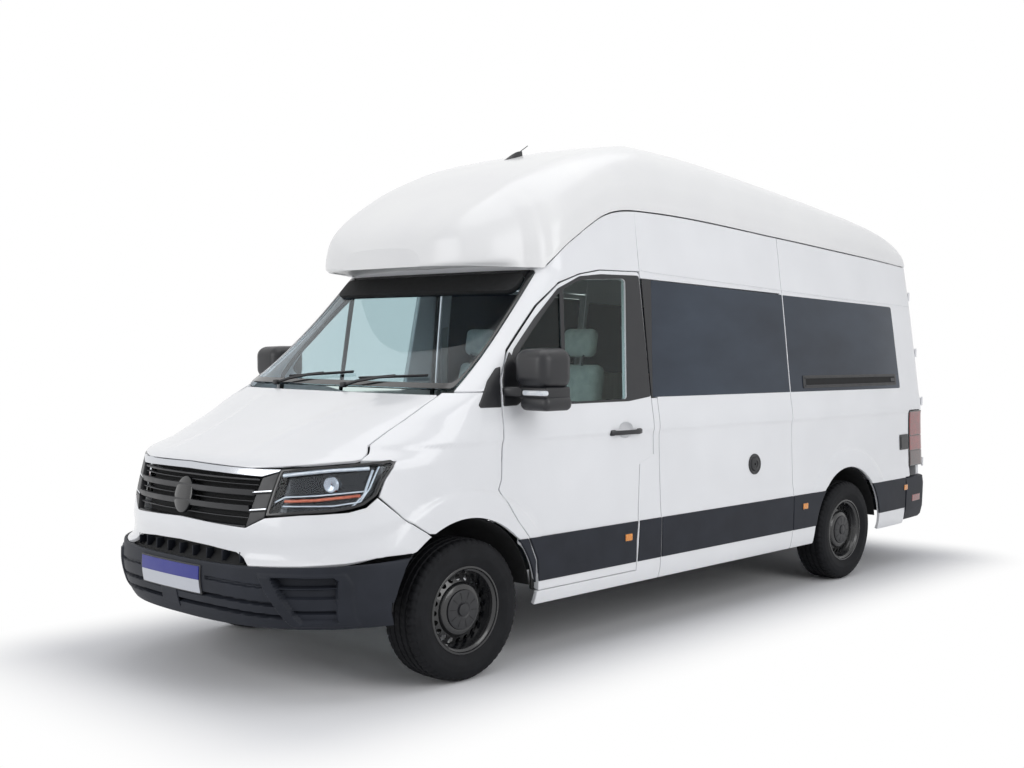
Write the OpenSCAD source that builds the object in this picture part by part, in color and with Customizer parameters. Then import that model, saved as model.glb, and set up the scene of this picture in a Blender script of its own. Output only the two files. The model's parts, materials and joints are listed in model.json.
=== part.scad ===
// Camper van: long-wheelbase panel van with a moulded high roof.
// Millimetres. +Z up, the nose faces -Y, the driver's side is +X.
// The origin is on the ground, on the centre plane, at mid length.

/* [Overall] */
// Length over the bumpers
body_l = 5986; // [5900:1:6100]
// Width over the side rubbing strips
body_w = 2040; // [2000:1:2080]
// Distance between the axles
wheelbase = 3640; // [3600:1:3680]
// Distance from the front axle to the foremost point
front_overhang = 1001; // [980:1:1020]

/* [Body shell] */
// Thickness of the outer walls with their lining
wall_t = 38; // [30:1:45]
// Thickness of the front and rear doors
door_t = 52; // [45:1:58]
// Thickness of the bonnet, measured along the length
hood_t = 70; // [60:1:90]
// Gap round a fixed panel
seam = 4; // [3:0.5:6]
// Gap round a door or lid
door_gap = 10.5; // [8:0.5:12]
// Thickness of every pane
glass_t = 5; // [4:0.5:6]
// Height of the lower edge of the sills
sill_z = 308; // [300:1:320]
// Height of the lower edge of the dark side band
band_low = 431; // [425:1:440]
// Height of the upper edge of the dark side band
band_top = 664; // [655:1:670]
// How far the dark side band stands off the wall
band_proud = 10; // [6:1:13]
// Lower edge of the side windows
window_low = 1352; // [1345:1:1360]
// Upper edge of the side windows
window_top = 2022; // [2010:1:2030]
// Height of the load floor
floor_z = 570; // [560:1:585]

/* [Wheels] */
// Outer radius of a tyre
tyre_r = 351; // [345:0.5:352]
// Width of a tyre
tyre_w = 235; // [225:1:240]
// Height of the wheel centres
wheel_z = 351; // [351:1:356]
// Radius of the rim at the bead
rim_r = 203; // [200:1:206]
// Width between the centres of the front tyres
front_track = 1758; // [1740:1:1770]
// Width between the centres of the rear tyres
rear_track = 1748; // [1730:1:1760]
// Radius of the wheel arches in the side
arch_r = 460; // [445:1:470]
// Distance of the kingpin inboard of the wheel's centre plane
kingpin_in = 85; // [75:1:95]

/* [Roof] */
// Height of the roof at its crest
crest_z = 2900; // [2880:1:2920]
// Thickness of the moulded roof
roof_t = 34; // [28:1:40]
// Height of the lower lip of the alcove
lip_z = 2085; // [2080:1:2095]

/* [Hidden] */

front_y = -body_l / 2;
front_axle = front_y + front_overhang;
rear_axle_y = front_axle + wheelbase;
tail_y = body_l / 2 - 88;      // skin of the rear doors
eps = 0.01;
WHITE = "#f1f1ef";
DARK = "#30333a";
BLACK = "#17181a";

// ---------------------------------------------------------------- skin ---
// Distance of the side skin from half the overall width, by height.
side_inset = [[280, 50], [300, 38], [330, 30], [430, 18], [660, 14], [760, 20],
    [1150, 28], [1185, 36], [1350, 48], [2010, 132], [2080, 142], [2440, 190]];
// Distance of the nose on the centre plane behind the foremost point.
nose_set = [[280, 150], [330, 80], [430, 25], [560, 3], [640, 8], [670, 48],
    [820, 62], [1040, 110], [1090, 128], [1150, 290], [1250, 545], [1340, 775],
    [1410, 935], [2040, 1625], [2440, 2000]];
// Length over which the nose rounds into the side, by height.
nose_run = [[280, 820], [660, 900], [1090, 950], [1150, 850], [1250, 700],
    [1340, 540], [1410, 420], [2040, 320], [2440, 300]];
// Distance of the tail in front of the rear skin, by height.
tail_set = [[280, 12], [600, 0], [1180, 12], [2010, 66], [2440, 110]];
NP = 2.7;                      // exponent of the plan curve of the nose
tail_from = 2000;              // where the sides start to draw in
tail_draw = 30;                // draw-in 700 further back
tail_r = 85;                   // plan radius of the rear corners

function half_w(z) = body_w / 2 - lookup(z, side_inset);
function nose_y(z) = front_y + lookup(z, nose_set);
function run(z) = lookup(z, nose_run);
function back_y(z) = tail_y - lookup(z, tail_set);
function draw_in(y) = y > tail_from ? tail_draw * pow((y - tail_from) / 700, 2) : 0;
function clamp01(v) = max(0, min(1, v));
function mix(a, b, t) = a + (b - a) * t;

// Half width of the skin at a length and height, moved in by o.
function skin_x(y, z, o = 0) =
    let (s = clamp01((y - nose_y(z) - o) / run(z)))
    (half_w(z) - o) * pow(1 - pow(1 - s, NP), 1 / NP) - draw_in(y);
// Length of the skin at a half width and height, moved in by o.
function skin_y(x, z, o = 0) =
    let (s = min(1, abs(x) / (half_w(z) - o)))
    nose_y(z) + o + run(z) * (1 - pow(1 - pow(s, NP), 1 / NP));

function seq(a, b, n) = [for (i = [0:n]) mix(a, b, i / n)];
function flip(p) = [-p[0], p[1], p[2]];

// Closed solid between two grids of points of the same size.
module slab(a, b) {
    m = len(a);
    n = len(a[0]);
    pts = concat([for (r = a) each r], [for (r = b) each r]);
    q = m * n;
    function quad(i, j, k, l) = [[i, k, j], [i, l, k]];
    faces = concat(
        [for (i = [0:m - 2]) for (j = [0:n - 2])
            each quad(i * n + j, i * n + j + 1, (i + 1) * n + j + 1, (i + 1) * n + j)],
        [for (i = [0:m - 2]) for (j = [0:n - 2])
            each quad(q + i * n + j, q + (i + 1) * n + j, q + (i + 1) * n + j + 1, q + i * n + j + 1)],
        [for (j = [0:n - 2]) each quad(j, q + j, q + j + 1, j + 1)],
        [for (j = [0:n - 2]) each quad((m - 1) * n + j, (m - 1) * n + j + 1,
            q + (m - 1) * n + j + 1, q + (m - 1) * n + j)],
        [for (i = [0:m - 2]) each quad(i * n, (i + 1) * n, q + (i + 1) * n, q + i * n)],
        [for (i = [0:m - 2]) each quad(i * n + n - 1, q + i * n + n - 1,
            q + (i + 1) * n + n - 1, (i + 1) * n + n - 1)]);
    polyhedron(pts, faces);
}

// Wall of the side between lists of lengths and heights; s is +1 left, -1 right.
module side_wall(ys, zs, out, inn, s = 1) {
    a = [for (z = zs) [for (y = ys) [s * skin_x(y, z, out), y, z]]];
    b = [for (z = zs) [for (y = ys) [s * skin_x(y, z, inn), y, z]]];
    if (s > 0) slab(a, b); else slab(b, a);
}

// Wall of the nose between lists of half widths and heights.
module nose_wall(xs, zs, out, inn) {
    slab([for (z = zs) [for (x = xs) [x, skin_y(x, z, out), z]]],
        [for (z = zs) [for (x = xs) [x, skin_y(x, z, inn), z]]]);
}

// Prism along X from a side outline, for one side or both.
module side_prism(pts, x0, x1) {
    rotate([90, 0, 90]) translate([0, 0, x0]) linear_extrude(x1 - x0) polygon(pts);
}
// Prism along Y from a front outline.
module front_prism(pts, y0, y1) {
    translate([0, y1, 0]) rotate([90, 0, 0]) linear_extrude(y1 - y0) polygon(pts);
}
module arch(y, r, x0, x1) {
    translate([x0, y, wheel_z]) rotate([0, 90, 0]) cylinder(r = r, h = x1 - x0, $fn = 72);
}
module bolster(p, s, r) {       // box with rounded upright edges
    translate(p) linear_extrude(s[2]) offset(r = r, $fn = 24) offset(delta = -r)
        square([s[0], s[1]]);
}
module mirror_copy() { children(); mirror([1, 0, 0]) children(); }
module pick(s) { if (s > 0) children(); else mirror([1, 0, 0]) children(); }

// Side levels used for every panel
low_z = [sill_z, 330, 430, 660, 760, 1150, 1185];
high_z = [1185, 1350, 2010, 2080];
// Seam between the steel side and the moulded roof: length, height
roof_seam = [[-1330, 2080], [-1240, 2150], [-1090, 2245], [-880, 2352], [-720, 2398],
    [-560, 2415], [940, 2370], [2500, 2295], [2900, 2275]];
function seam_z(y) = lookup(y, roof_seam);

// ---------------------------------------------------- door outlines ---
// Front door outline, side view
door_out = [[-1515, 384], [-728, 384], [-728, 555], [-686, 983], [-563, 1026],
    [-563, 1359], [-576, 2058], [-592, 2070], [-910, 2062], [-1078, 2032], [-1221, 1979],
    [-1371, 1857], [-1606, 1621], [-1714, 1471], [-1742, 1298], [-1761, 975],
    [-1783, 927], [-1667, 760], [-1580, 658], [-1527, 543]];
module door_shape(d) { offset(delta = d) polygon(door_out); }

// Window opening of the front door
door_win = [[-766, 1352], [-1240, 1352], [-1590, 1440], [-1650, 1500], [-1560, 1615], [-1401, 1772],
    [-1236, 1932], [-1082, 2002], [-760, 2022], [-742, 2010]];
module door_win_shape(d) { offset(delta = d) polygon(door_win); }

// Side window band: front and rear windows
win_a = [[-540, window_low], [893, window_low], [915, window_top - 18], [-470, window_top]];
win_b = [[925, window_low], [2460, window_low], [2465, window_low + 20], [2420, window_top - 62], [2400, window_top - 52],
    [945, window_top - 19]];

module along_x(x0, x1) { rotate([90, 0, 90]) translate([0, 0, x0]) linear_extrude(x1 - x0) children(); }

side_rear = tail_y - 4;        // rear edge of the side panels, before the lean
rear_edge = [for (z = [200, 600, 1180, 2010, 2440]) [back_y(z) - 8, z]];
lamp_y = 2604;                 // front edge of the tail lamps
slide_y0 = -505;               // front edge of the sliding door
slide_y1 = 905;                // rear edge of the sliding door

// ------------------------------------------------------- side panels ---
// Least half width of the rail over the front door, by length
rail_half = [[-1330, 845], [-1180, 862], [-1000, 855], [-560, 0]];
module side_skin(s) {
    yt = [-560, 940, 2000, 2250, 2500, 2700, side_rear];
    union() {
        side_wall(yt, low_z, 0, wall_t, s);
        // upper wall follows the roof seam
        za = [1185, 1350, 2010, 2080];
        a = concat([for (z = za) [for (y = yt) [s * skin_x(y, z), y, z]]],
            [[for (y = yt) [s * skin_x(y, seam_z(y)), y, seam_z(y)]]]);
        b = concat([for (z = za) [for (y = yt) [s * skin_x(y, z, wall_t), y, z]]],
            [[for (y = yt) [s * skin_x(y, seam_z(y), wall_t), y, seam_z(y)]]]);
        if (s > 0) slab(a, b); else slab(b, a);
        // rail over the front door
        yr = [-1325, -1240, -1090, -880, -720, -560];
        g = function (o) [for (t = [0, 1]) [for (y = yr) let (z = mix(2080, max(2082, seam_z(y)), t))
            [s * max(skin_x(y, z, o), lookup(y, rail_half) - o), y, z]]];
        ar = g(0);
        br = g(wall_t);
        if (s > 0) slab(ar, br); else slab(br, ar);
        // pillar behind the front door and the sill below it
        side_wall([-760, -560], low_z, 0, wall_t, s);
        side_wall([-760, -560], high_z, 0, wall_t, s);
        side_wall([-1650, -760], [sill_z, 330, 384], 0, wall_t, s);
    }
}

module side_cuts(s) {
    x0 = s > 0 ? 700 : -1100;
    x1 = x0 + 400;
    along_x(x0, x1) door_shape(door_gap);
    side_prism(win_a, x0, x1);
    side_prism(win_b, x0, x1);
    arch(rear_axle_y, arch_r, x0, x1);
    arch(front_axle, arch_r, x0, x1);
    // tail lamp and bumper corner
    side_prism([[lamp_y - seam, 750 - seam], [lamp_y - seam, 1172 + seam], [3000, 1172 + seam], [3000, 200],
        [2540, 200], [2530, band_top + seam], [lamp_y - seam, band_top + seam]], x0, x1);
    // lean of the tail
    side_prism(concat(rear_edge, [[3100, 2440], [3100, 200]]), x0, x1);
}

module side_panel(s) {
    color(WHITE) difference() {
        side_skin(s);
        side_cuts(s);
        if (s < 0)
            side_prism([[slide_y0, 400], [slide_y1, 400], [slide_y1, 2036], [slide_y0, 2036]], -1100, -700);
    }
}
module side_panel_left() { side_panel(1); }
module side_panel_right() { side_panel(-1); }

module sliding_door() {
    y0 = slide_y0 + seam;
    y1 = slide_y1 - seam;
    color(WHITE) difference() {
        union() {
            side_wall([y0, y1], [400 + seam, 430, 660, 760, 1150, 1185], 0, door_t, -1);
            side_wall([y0, y1], [1185, 1350, 2010, 2036 - seam], 0, door_t, -1);
        }
        side_prism([[-440, window_low], [860, window_low], [860, window_top - 20], [-440, window_top - 6]], -1100, -700);
    }
}

// -------------------------------------------------------------- roof ---
// Lower edge of the moulded roof; in front of the seam it is d above the lip.
function roof_base(y, d) = y < -1320 ? lip_z + d : seam_z(y) + seam;
// Stations along the moulded roof: length, crown height, shoulder half
// width, shoulder height, waist half width
roof_st = [[-1722, 2190, 260, 2175, 330], [-1690, 2262, 430, 2230, 520], [-1640, 2335, 520, 2285, 640],
    [-1560, 2425, 560, 2365, 730], [-1450, 2515, 580, 2450, 800], [-1330, 2590, 590, 2522, 845],
    [-1240, 2640, 597, 2572, 860], [-1090, 2708, 605, 2638, 873], [-880, 2806, 620, 2732, 874],
    [-720, 2864, 632, 2782, 868], [-560, 2890, 642, 2803, 862], [-400, 2900, 650, 2808, 858],
    [0, 2885, 655, 2786, 850], [940, 2812, 655, 2709, 848], [1700, 2734, 655, 2634, 846],
    [2250, 2672, 650, 2574, 838], [2500, 2637, 645, 2540, 828], [2700, 2597, 625, 2504, 806],
    [2790, 2552, 600, 2466, 784], [2850, 2480, 560, 2410, 740]];
function roof_sec(st, o, zb0) =
    let (zb = roof_base(st[0], zb0), y = st[0], zc = st[1] + crest_z - 2900 - o, s = st[2] - o * 0.6, zs = st[3] + crest_z - 2900 - o * 0.9, b = st[4] - o)
    let (zm = mix(zb, zs, 0.42), zu = mix(zb, zs, 0.78))
    let (h = [[b, zb], [mix(b, s, 0.10), zm], [mix(b, s, 0.42), zu], [s, zs],
        [s * 0.80, mix(zs, zc, 0.50)], [s * 0.45, mix(zs, zc, 0.86)], [0, zc]])
    concat([for (p = h) [p[0], y, p[1]]], [for (i = [len(h) - 2:-1:0]) [-h[i][0], y, h[i][1]]]);
// Closed solid through loops of the same size; seen along the run the
// loops turn anticlockwise.
module loft(loops) {
    n = len(loops[0]);
    m = len(loops);
    polyhedron([for (r = loops) each r], concat(
        [[for (j = [n - 1:-1:0]) j]],
        [[for (j = [0:n - 1]) (m - 1) * n + j]],
        [for (i = [0:m - 2]) for (j = [0:n - 1]) let (k = (j + 1) % n)
            each [[i * n + j, (i + 1) * n + k, (i + 1) * n + j], [i * n + j, i * n + k, (i + 1) * n + k]]]));
}
module roof_loft(o) {
    loft([for (st = roof_st) roof_sec(st, o, 0)]);
}
// Shell of the roof: closed below in front of the opening, open behind it.
roof_open = 5;                 // station where the opening starts
module high_roof() {
    out = [for (st = roof_st) roof_sec(st, 0, 0)];
    m = len(out);
    n = len(out[0]);
    inn = [for (i = [1:m - 2]) roof_sec(roof_st[i], roof_t, i <= roof_open ? roof_t : 0)];
    e = m - 2;                 // last station that has a cavity
    q = m * n;
    function o(i, j) = i * n + j;
    function c(i, j) = q + (i - 1) * n + j;
    function quad(a, b, c, d) = [[a, b, c], [a, c, d]];
    color(WHITE) polyhedron(concat([for (r = out) each r], [for (r = inn) each r]), concat(
        [[for (j = [n - 1:-1:0]) o(0, j)], [for (j = [0:n - 1]) o(m - 1, j)],
            [for (j = [0:n - 1]) c(1, j)], [for (j = [n - 1:-1:0]) c(e, j)]],
        [for (i = [0:m - 2]) for (j = [0:n - 2]) each quad(o(i, j), o(i, j + 1), o(i + 1, j + 1), o(i + 1, j))],
        [for (i = [1:e - 1]) for (j = [0:n - 2]) each quad(c(i, j), c(i + 1, j), c(i + 1, j + 1), c(i, j + 1))],
        // underside in front of the opening, then the rim round it
        [for (i = [0:roof_open - 1]) each quad(o(i, n - 1), o(i, 0), o(i + 1, 0), o(i + 1, n - 1))],
        [for (i = [1:roof_open - 1]) each quad(c(i, 0), c(i, n - 1), c(i + 1, n - 1), c(i + 1, 0))],
        quad(o(roof_open, 0), c(roof_open, 0), c(roof_open, n - 1), o(roof_open, n - 1)),
        [for (i = [roof_open:e - 1]) each concat(
            quad(o(i, 0), o(i + 1, 0), c(i + 1, 0), c(i, 0)),
            quad(o(i, n - 1), c(i, n - 1), c(i + 1, n - 1), o(i + 1, n - 1)))],
        [[o(e, 0), o(m - 1, 0), c(e, 0)], [c(e, n - 1), o(m - 1, n - 1), o(e, n - 1)]],
        quad(c(e, 0), o(m - 1, 0), o(m - 1, n - 1), c(e, n - 1))));
}
module roof_fittings() {
    color(BLACK) difference() {
        union() {
            translate([0, 260, crest_z - 35]) rotate([-4.4, 0, 0]) hull() {
                translate([-240, -200, -40]) cube([480, 400, 60]);
                translate([-215, -175, 20]) cube([430, 350, 38]);
            }
            // aerial fin with a short whip
            hull() {
                translate([-18, -760, crest_z - 70]) cube([36, 110, 30]);
                translate([-4, -690, crest_z - 12]) cube([8, 40, 6]);
            }
        }
        roof_loft(-0.6);
    }
}

// --------------------------------------------------------- cab frame ---
// Edge of the windscreen: half width by height
screen_x = [[1400, 812], [1776, 758], [2050, 736]];
function screen_edge(z) = lookup(z, screen_x);
module cab_frame() {
    color(WHITE) difference() {
        ring_wall([for (i = [-18:18]) i * 5], [[0, 1418], [90, 1418]], [[0, 2078], [90, 2078]],
            [0, 0.2, 0.4, 0.6, 0.75, 0.9, 1], 0, wall_t);
        // opening of the windscreen
        front_prism([[-screen_edge(1400), 1400], [screen_edge(1400), 1400], [screen_edge(1776), 1776],
            [screen_edge(2046), 2046], [-screen_edge(2046), 2046], [-screen_edge(1776), 1776]], -2400, -1000);
        for (s = [-1, 1]) {
            along_x(s > 0 ? 700 : -1100, s > 0 ? 1100 : -700) door_shape(door_gap);
            side_prism([[-1200, 1400], [-1200, 1979], [-1078, 2032], [-1078, 2090], [-900, 2090], [-900, 1400]], s > 0 ? 600 : -1100, s > 0 ? 1100 : -600);
        }
    }
}

// --------------------------------------------------------------- nose ---
// Point of the nose at a height, an angle round the plan curve and an inset.
function ring(z, a, o) =
    let (b = 90 * clamp01((abs(a) - 25) / 50))
    [sign(a) * (half_w(z) * pow(sin(abs(a)), 2 / NP) - o * sin(b)),
        nose_y(z) + o * cos(b) + run(z) * (1 - pow(cos(a), 2 / NP)), z];
// Wall whose lower and upper edges follow tables of angle and height.
module ring_wall(as, low, high, rows, out, inn) {
    slab([for (t = rows) [for (a = as) ring(mix(lookup(abs(a), low), lookup(abs(a), high), t), a, out)]],
        [for (t = rows) [for (a = as) ring(mix(lookup(abs(a), low), lookup(abs(a), high), t), a, inn)]]);
}
full_ring = [for (i = [-18:18]) i * 5];

// Edges of the nose pieces: angle round the nose, height
panel_low = [[0, 708], [18, 698], [24, 662], [90, 668]];
panel_high = [[0, 800], [20, 800], [24.5, 838], [40, 862], [51, 868], [56, 882], [61, 920], [63, 930],
    [74, 838], [81.5, 751], [90, 700]];
bumper_high = [[0, 636], [24, 646], [90, 664]];
lamp_low = [[24, 852], [40, 874], [51, 880], [56, 897], [62, 942], [64.8, 1022], [66.5, 1090]];
lamp_high = [[24, 1060], [40, 1080], [52, 1094], [66.5, 1102]];
lamp_a = [24.5, 32, 40, 46, 51, 56, 60, 62, 64.8, 66.3];
// Half width of the bonnet by height
hood_half = [[1060, 846], [1106, 836], [1175, 796], [1239, 782], [1318, 770], [1410, 763]];
// Front edge of the bonnet by half width
hood_front = [[0, 1084], [450, 1072], [592, 1086], [741, 1103], [850, 1112]];
hood_back = 1398;

module front_panel() {
    color(WHITE) difference() {
        ring_wall([for (a = [-90, -85, -80, -74, -68, -63, -61, -56, -51, -40, -32, -24.5, -20, -10, 0,
            10, 20, 24.5, 32, 40, 51, 56, 61, 63, 68, 74, 80, 85, 90]) a], panel_low, panel_high, [0, 0.4, 1], 0, 24);
        for (s = [-1, 1]) arch(front_axle, arch_r, s > 0 ? 700 : -1100, s > 0 ? 1100 : -700);
    }
}
plate_w = 520;                 // number plate seats
plate_h = 110;
plate_z = 552;
module front_bumper() {
    color(DARK) difference() {
        union() {
            ring_wall(full_ring, [[0, 300], [90, 282]], bumper_high, [0, 0.1, 0.387, 0.774, 0.9, 1], 0, 60);
            translate([-plate_w / 2 - 2, front_y, plate_z - plate_h / 2 - 2]) cube([plate_w + 4, 40, plate_h + 4]);
        }
        for (s = [-1, 1]) arch(front_axle, arch_r - 6, s > 0 ? 600 : -1100, s > 0 ? 1100 : -600);
        // grooves across the middle
        for (z = [352, 400, 448]) front_prism([[-470, z], [470, z], [470, z + 14], [-470, z + 14]], front_y - 20, nose_y(z) + 52);
    }
}
function grille_half(z) = lookup(z, [[800, 448], [1070, 494]]);
// Bars of the upper grille: each one lower edge, upper edge
grille_bars = [[828, 848], [878, 898], [928, 948], [978, 998], [1026, 1046]];
module grille_row(z0, z1, out, inn) {
    g = function (o) [for (z = [z0, z1]) [for (t = seq(-1, 1, 10)) let (x = t * grille_half(z)) [x, skin_y(x, z, o), z]]];
    slab(g(out), g(inn));
}
clip_gap = 0.4;                // play of the clipped-in bars and dividers
module grille() {
    color(BLACK) {
        // backing, bars and top strip of the upper grille
        grille_row(806, 1067, 62, 74);
        for (b = grille_bars) grille_row(b[0], b[1], 4, 62 - clip_gap);
        grille_row(1053, 1067, -2, 62 - clip_gap);
        // lower intake with its dividers
        nose_wall(seq(-420, 420, 8), [652, 690], 46, 56);
        for (x = [-360:90:360]) nose_wall([x - 5, x + 5], [654, 688], 20, 46 - clip_gap);
    }
}
module headlamps() {
    color("#c9ced3") for (s = [1, -1])
        ring_wall(s > 0 ? lamp_a : [for (i = [len(lamp_a) - 1:-1:0]) -lamp_a[i]], lamp_low, lamp_high,
            [0, 0.5, 1], 0, 48);
}
// Point of the bonnet: t runs across, k counts the rows from the front edge back
hood_rows = [1175, 1239, 1318, hood_back];
hood_edge = 18;                // thickness along the rim, measured along the length
function hood_pt(t, k, o) =
    let (xf = t * (lookup(1112, hood_half) - door_gap), z0 = lookup(abs(xf), hood_front),
        z = k < 2 ? mix(z0, hood_rows[0], k / 2) : hood_rows[k - 2],
        x = t * (lookup(z, hood_half) - door_gap * 0.6))
    [o > hood_edge ? x * 0.97 : x, skin_y(x, z) + o, z];
module hood() {
    ts = seq(-1, 1, 16);
    color(WHITE) slab([for (k = [0:5]) [for (t = ts) hood_pt(t, k, 0)]],
        [for (k = [0:5]) [for (t = ts) hood_pt(t, k, k == 5 || abs(t) > 0.9 ? hood_edge : hood_t)]]);
}
// Front edge of the wings: angle round the nose by height
wing_a = [[742, 83], [751, 82.3], [838, 74.8], [930, 64.2], [950, 64.4], [1022, 66.4], [1060, 67.8], [1104, 67.9]];
wing_z = [742, 838, 939, 1022, 1104, 1139, 1175, 1239, 1318, 1408];
module front_wings() {
    from = function (z) z < 1105 ? ring(z, lookup(z, wing_a), 0)[1] : skin_y(lookup(z, hood_half) + seam, z);
    color(WHITE) for (s = [1, -1]) difference() {
        union() {
            g = function (o) [for (z = wing_z) let (y0 = from(z))
                [for (t = [0, 0.15, 0.3, 0.5, 0.75, 1]) let (y = mix(y0, -1690, t))
                    [s * (skin_x(y, z) - o * t), y + o * 0.7 * (1 - t), z]]];
            if (s > 0) slab(g(0), g(26)); else slab(g(26), g(0));
            side_wall([-1800, -1500], [440, 660, 745], 0, 26, s);
        }
        arch(front_axle, arch_r, s > 0 ? 500 : -1100, s > 0 ? 1100 : -500);
        along_x(s > 0 ? 700 : -1100, s > 0 ? 1100 : -700) door_shape(door_gap);
    }
}
module windscreen() {
    ts = seq(-1, 1, 12);
    zs = [1440, 1580, 1776, 1910, 2038];
    g = function (o) [for (z = zs) [for (t = ts) let (x = t * (screen_edge(z) - seam)) [x, skin_y(x, z, o), z]]];
    color("#20262c") slab(g(4), g(4 + glass_t * 1.4));
}

// -------------------------------------------------------------- glass ---
module pane_band(y0, y1, out, s) {
    side_wall([y0, 0, 900, 2000, 2250, y1], [window_low - 8, 2010, 2030], out, out + glass_t, s);
}
module side_windows() {
    color("#1a2128") for (s = [1, -1]) for (w = s > 0 ? [win_a, win_b] : [win_b]) intersection() {
        if (w == win_a) side_wall([-600, 940], [window_low - 8, 2010, 2030], 1, 1 + glass_t, s);
        else side_wall([900, 2000, 2250, 2500], [window_low - 8, 2010, 2030], 1, 1 + glass_t, s);
        along_x(s > 0 ? 700 : -1100, s > 0 ? 1100 : -700) offset(delta = -3) polygon(w);
    }
    color("#1a2128") intersection() {
        side_wall([-600, 940], [window_low - 8, 2010, 2030], 1, 1 + glass_t, -1);
        along_x(-1100, -700) offset(delta = -3) polygon([[-440, window_low], [860, window_low], [860, window_top - 20], [-440, window_top - 6]]);
    }
}

// --------------------------------------------------------- side bands ---
module band(s, y0, y1) { side_wall([y0, y1], [band_low, band_top], -band_proud, -0.5, s); }
module side_trims() {
    color(DARK) for (s = [1, -1]) {
        difference() {
            union() {
                if (s > 0) band(s, -718, 1300);
                else { band(s, -718, slide_y0 - 2); band(s, slide_y0 + 6, slide_y1 - 6); band(s, slide_y1 + 2, 1300); }
                side_wall([1950, 2000, 2250, 2500, 2524], [band_low, band_top], -band_proud, -0.5, s);
                band(s, -1800, -1592);
            }
            arch(rear_axle_y, arch_r - 4, s > 0 ? 700 : -1100, s > 0 ? 1100 : -700);
            arch(front_axle, arch_r - 4, s > 0 ? 700 : -1100, s > 0 ? 1100 : -700);
            along_x(s > 0 ? 700 : -1100, s > 0 ? 1100 : -700) door_shape(door_gap);
        }
    }
}

// --------------------------------------------------------------- doors ---
door_ys = [-1800, -1700, -1620, -1540, -1460, -1380, -1300, -1200, -1100, -1000, -900, -550];
module front_door(s) {
    color(WHITE) difference() {
        intersection() {
            union() {
                side_wall([-1800, -550], low_z, 0, door_t, s);
                side_wall(door_ys, [1185, 1350, 1410, 1550, 1700, 1850, 2010, 2079], 0, door_t, s);
                side_wall([-1800, -550], [band_low, band_top], -band_proud, 2, s);
            }
            along_x(s > 0 ? 700 : -1100, s > 0 ? 1100 : -700) door_shape(0);
        }
        along_x(s > 0 ? 700 : -1100, s > 0 ? 1100 : -700) door_win_shape(0);
    }
    // pull handle
    color(BLACK) pick(s) translate([skin_x(-820, 1170) - 1, -947, 1158]) cube([26, 258, 24]);
}
module door_left() { front_door(1); }
module door_right() { front_door(-1); }
module door_glass(s) {
    color("#20262c") intersection() {
        side_wall(door_ys, [1345, 1410, 1550, 1700, 1850, 2010, 2030], 14, 14 + glass_t, s);
        along_x(s > 0 ? 700 : -1100, s > 0 ? 1100 : -700) door_win_shape(-1.5);
    }
}
module door_left_glass() { door_glass(1); }
module door_right_glass() { door_glass(-1); }

// Outside mirror on its arm, standing off the front corner of the door glass
mirror_tip = 1213.5;           // half width over the mirrors
module outside_mirror(s) {
    color(BLACK) pick(s) {
        hull() {
            translate([1030, -1660, 1335]) cube([mirror_tip - 1030 - 20, 90, 280]);
            translate([1045, -1730, 1365]) cube([mirror_tip - 1045 - 30, 60, 220]);
            translate([1040, -1650, 1330]) cube([mirror_tip - 1040, 60, 290]);
        }
        hull() {
            translate([skin_x(-1600, 1390) + 4, -1690, 1390]) cube([4, 120, 90]);
            translate([1035, -1680, 1395]) cube([6, 70, 70]);
        }
    }
}
module mirror_left() { outside_mirror(1); }
module mirror_right() { outside_mirror(-1); }

// Rear doors
rear_low = floor_z + 12;       // lower edge of the rear doors
function rear_half(z) = half_w(z) - draw_in(tail_y - 30) - wall_t - door_gap;
module rear_skin(o, o2, s) {
    zs = [rear_low, 660, 900, 1180, 1350, 2010, 2235];
    ts = s > 0 ? seq(0, 1, 6) : seq(-1, 0, 6);
    // the doors are slightly crowned in plan and lean with the tail
    g = function (o) [for (z = zs) [for (t = ts) let (x = s * door_gap / 2 + t * (rear_half(z) - door_gap / 2))
        [x, back_y(z) - 24 * pow(abs(t), 3) - o, z]]];
    slab(g(o), g(o2));
}
module rear_door(s) {
    color(WHITE) difference() {
        rear_skin(door_t, 0, s);
        front_prism([[s * 120, 1380], [s * 735, 1380], [s * 700, 1960], [s * 120, 1960]], 2600, 3100);
    }
}
module rear_door_left() { rear_door(1); }
module rear_door_right() { rear_door(-1); }
module rear_glass(s) {
    color("#1a2128") intersection() {
        rear_skin(6 + glass_t, 6, s);
        front_prism([[s * 123, 1383], [s * 732, 1383], [s * 697, 1957], [s * 123, 1957]], 2600, 3100);
    }
}
module rear_door_left_glass() { rear_glass(1); }
module rear_door_right_glass() { rear_glass(-1); }

// ---------------------------------------------------------- tail pieces ---
module tail_lamps() {
    color("#8f1219") for (s = [1, -1]) side_wall([lamp_y, 2700, 2790, 2880], [750, 960, 1172], 0, wall_t, s);
}
module rear_bumper() {
    color(DARK) difference() {
        union() {
            for (s = [1, -1]) side_wall([2544, 2700, 2820, 2888], [330, 430, 560, 660], 0, wall_t, s);
            translate([-880, 2850, 330]) cube([1760, body_l / 2 - 2850, 232]);
        }
        arch(rear_axle_y, arch_r, -1100, 1100);
    }
}

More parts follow.
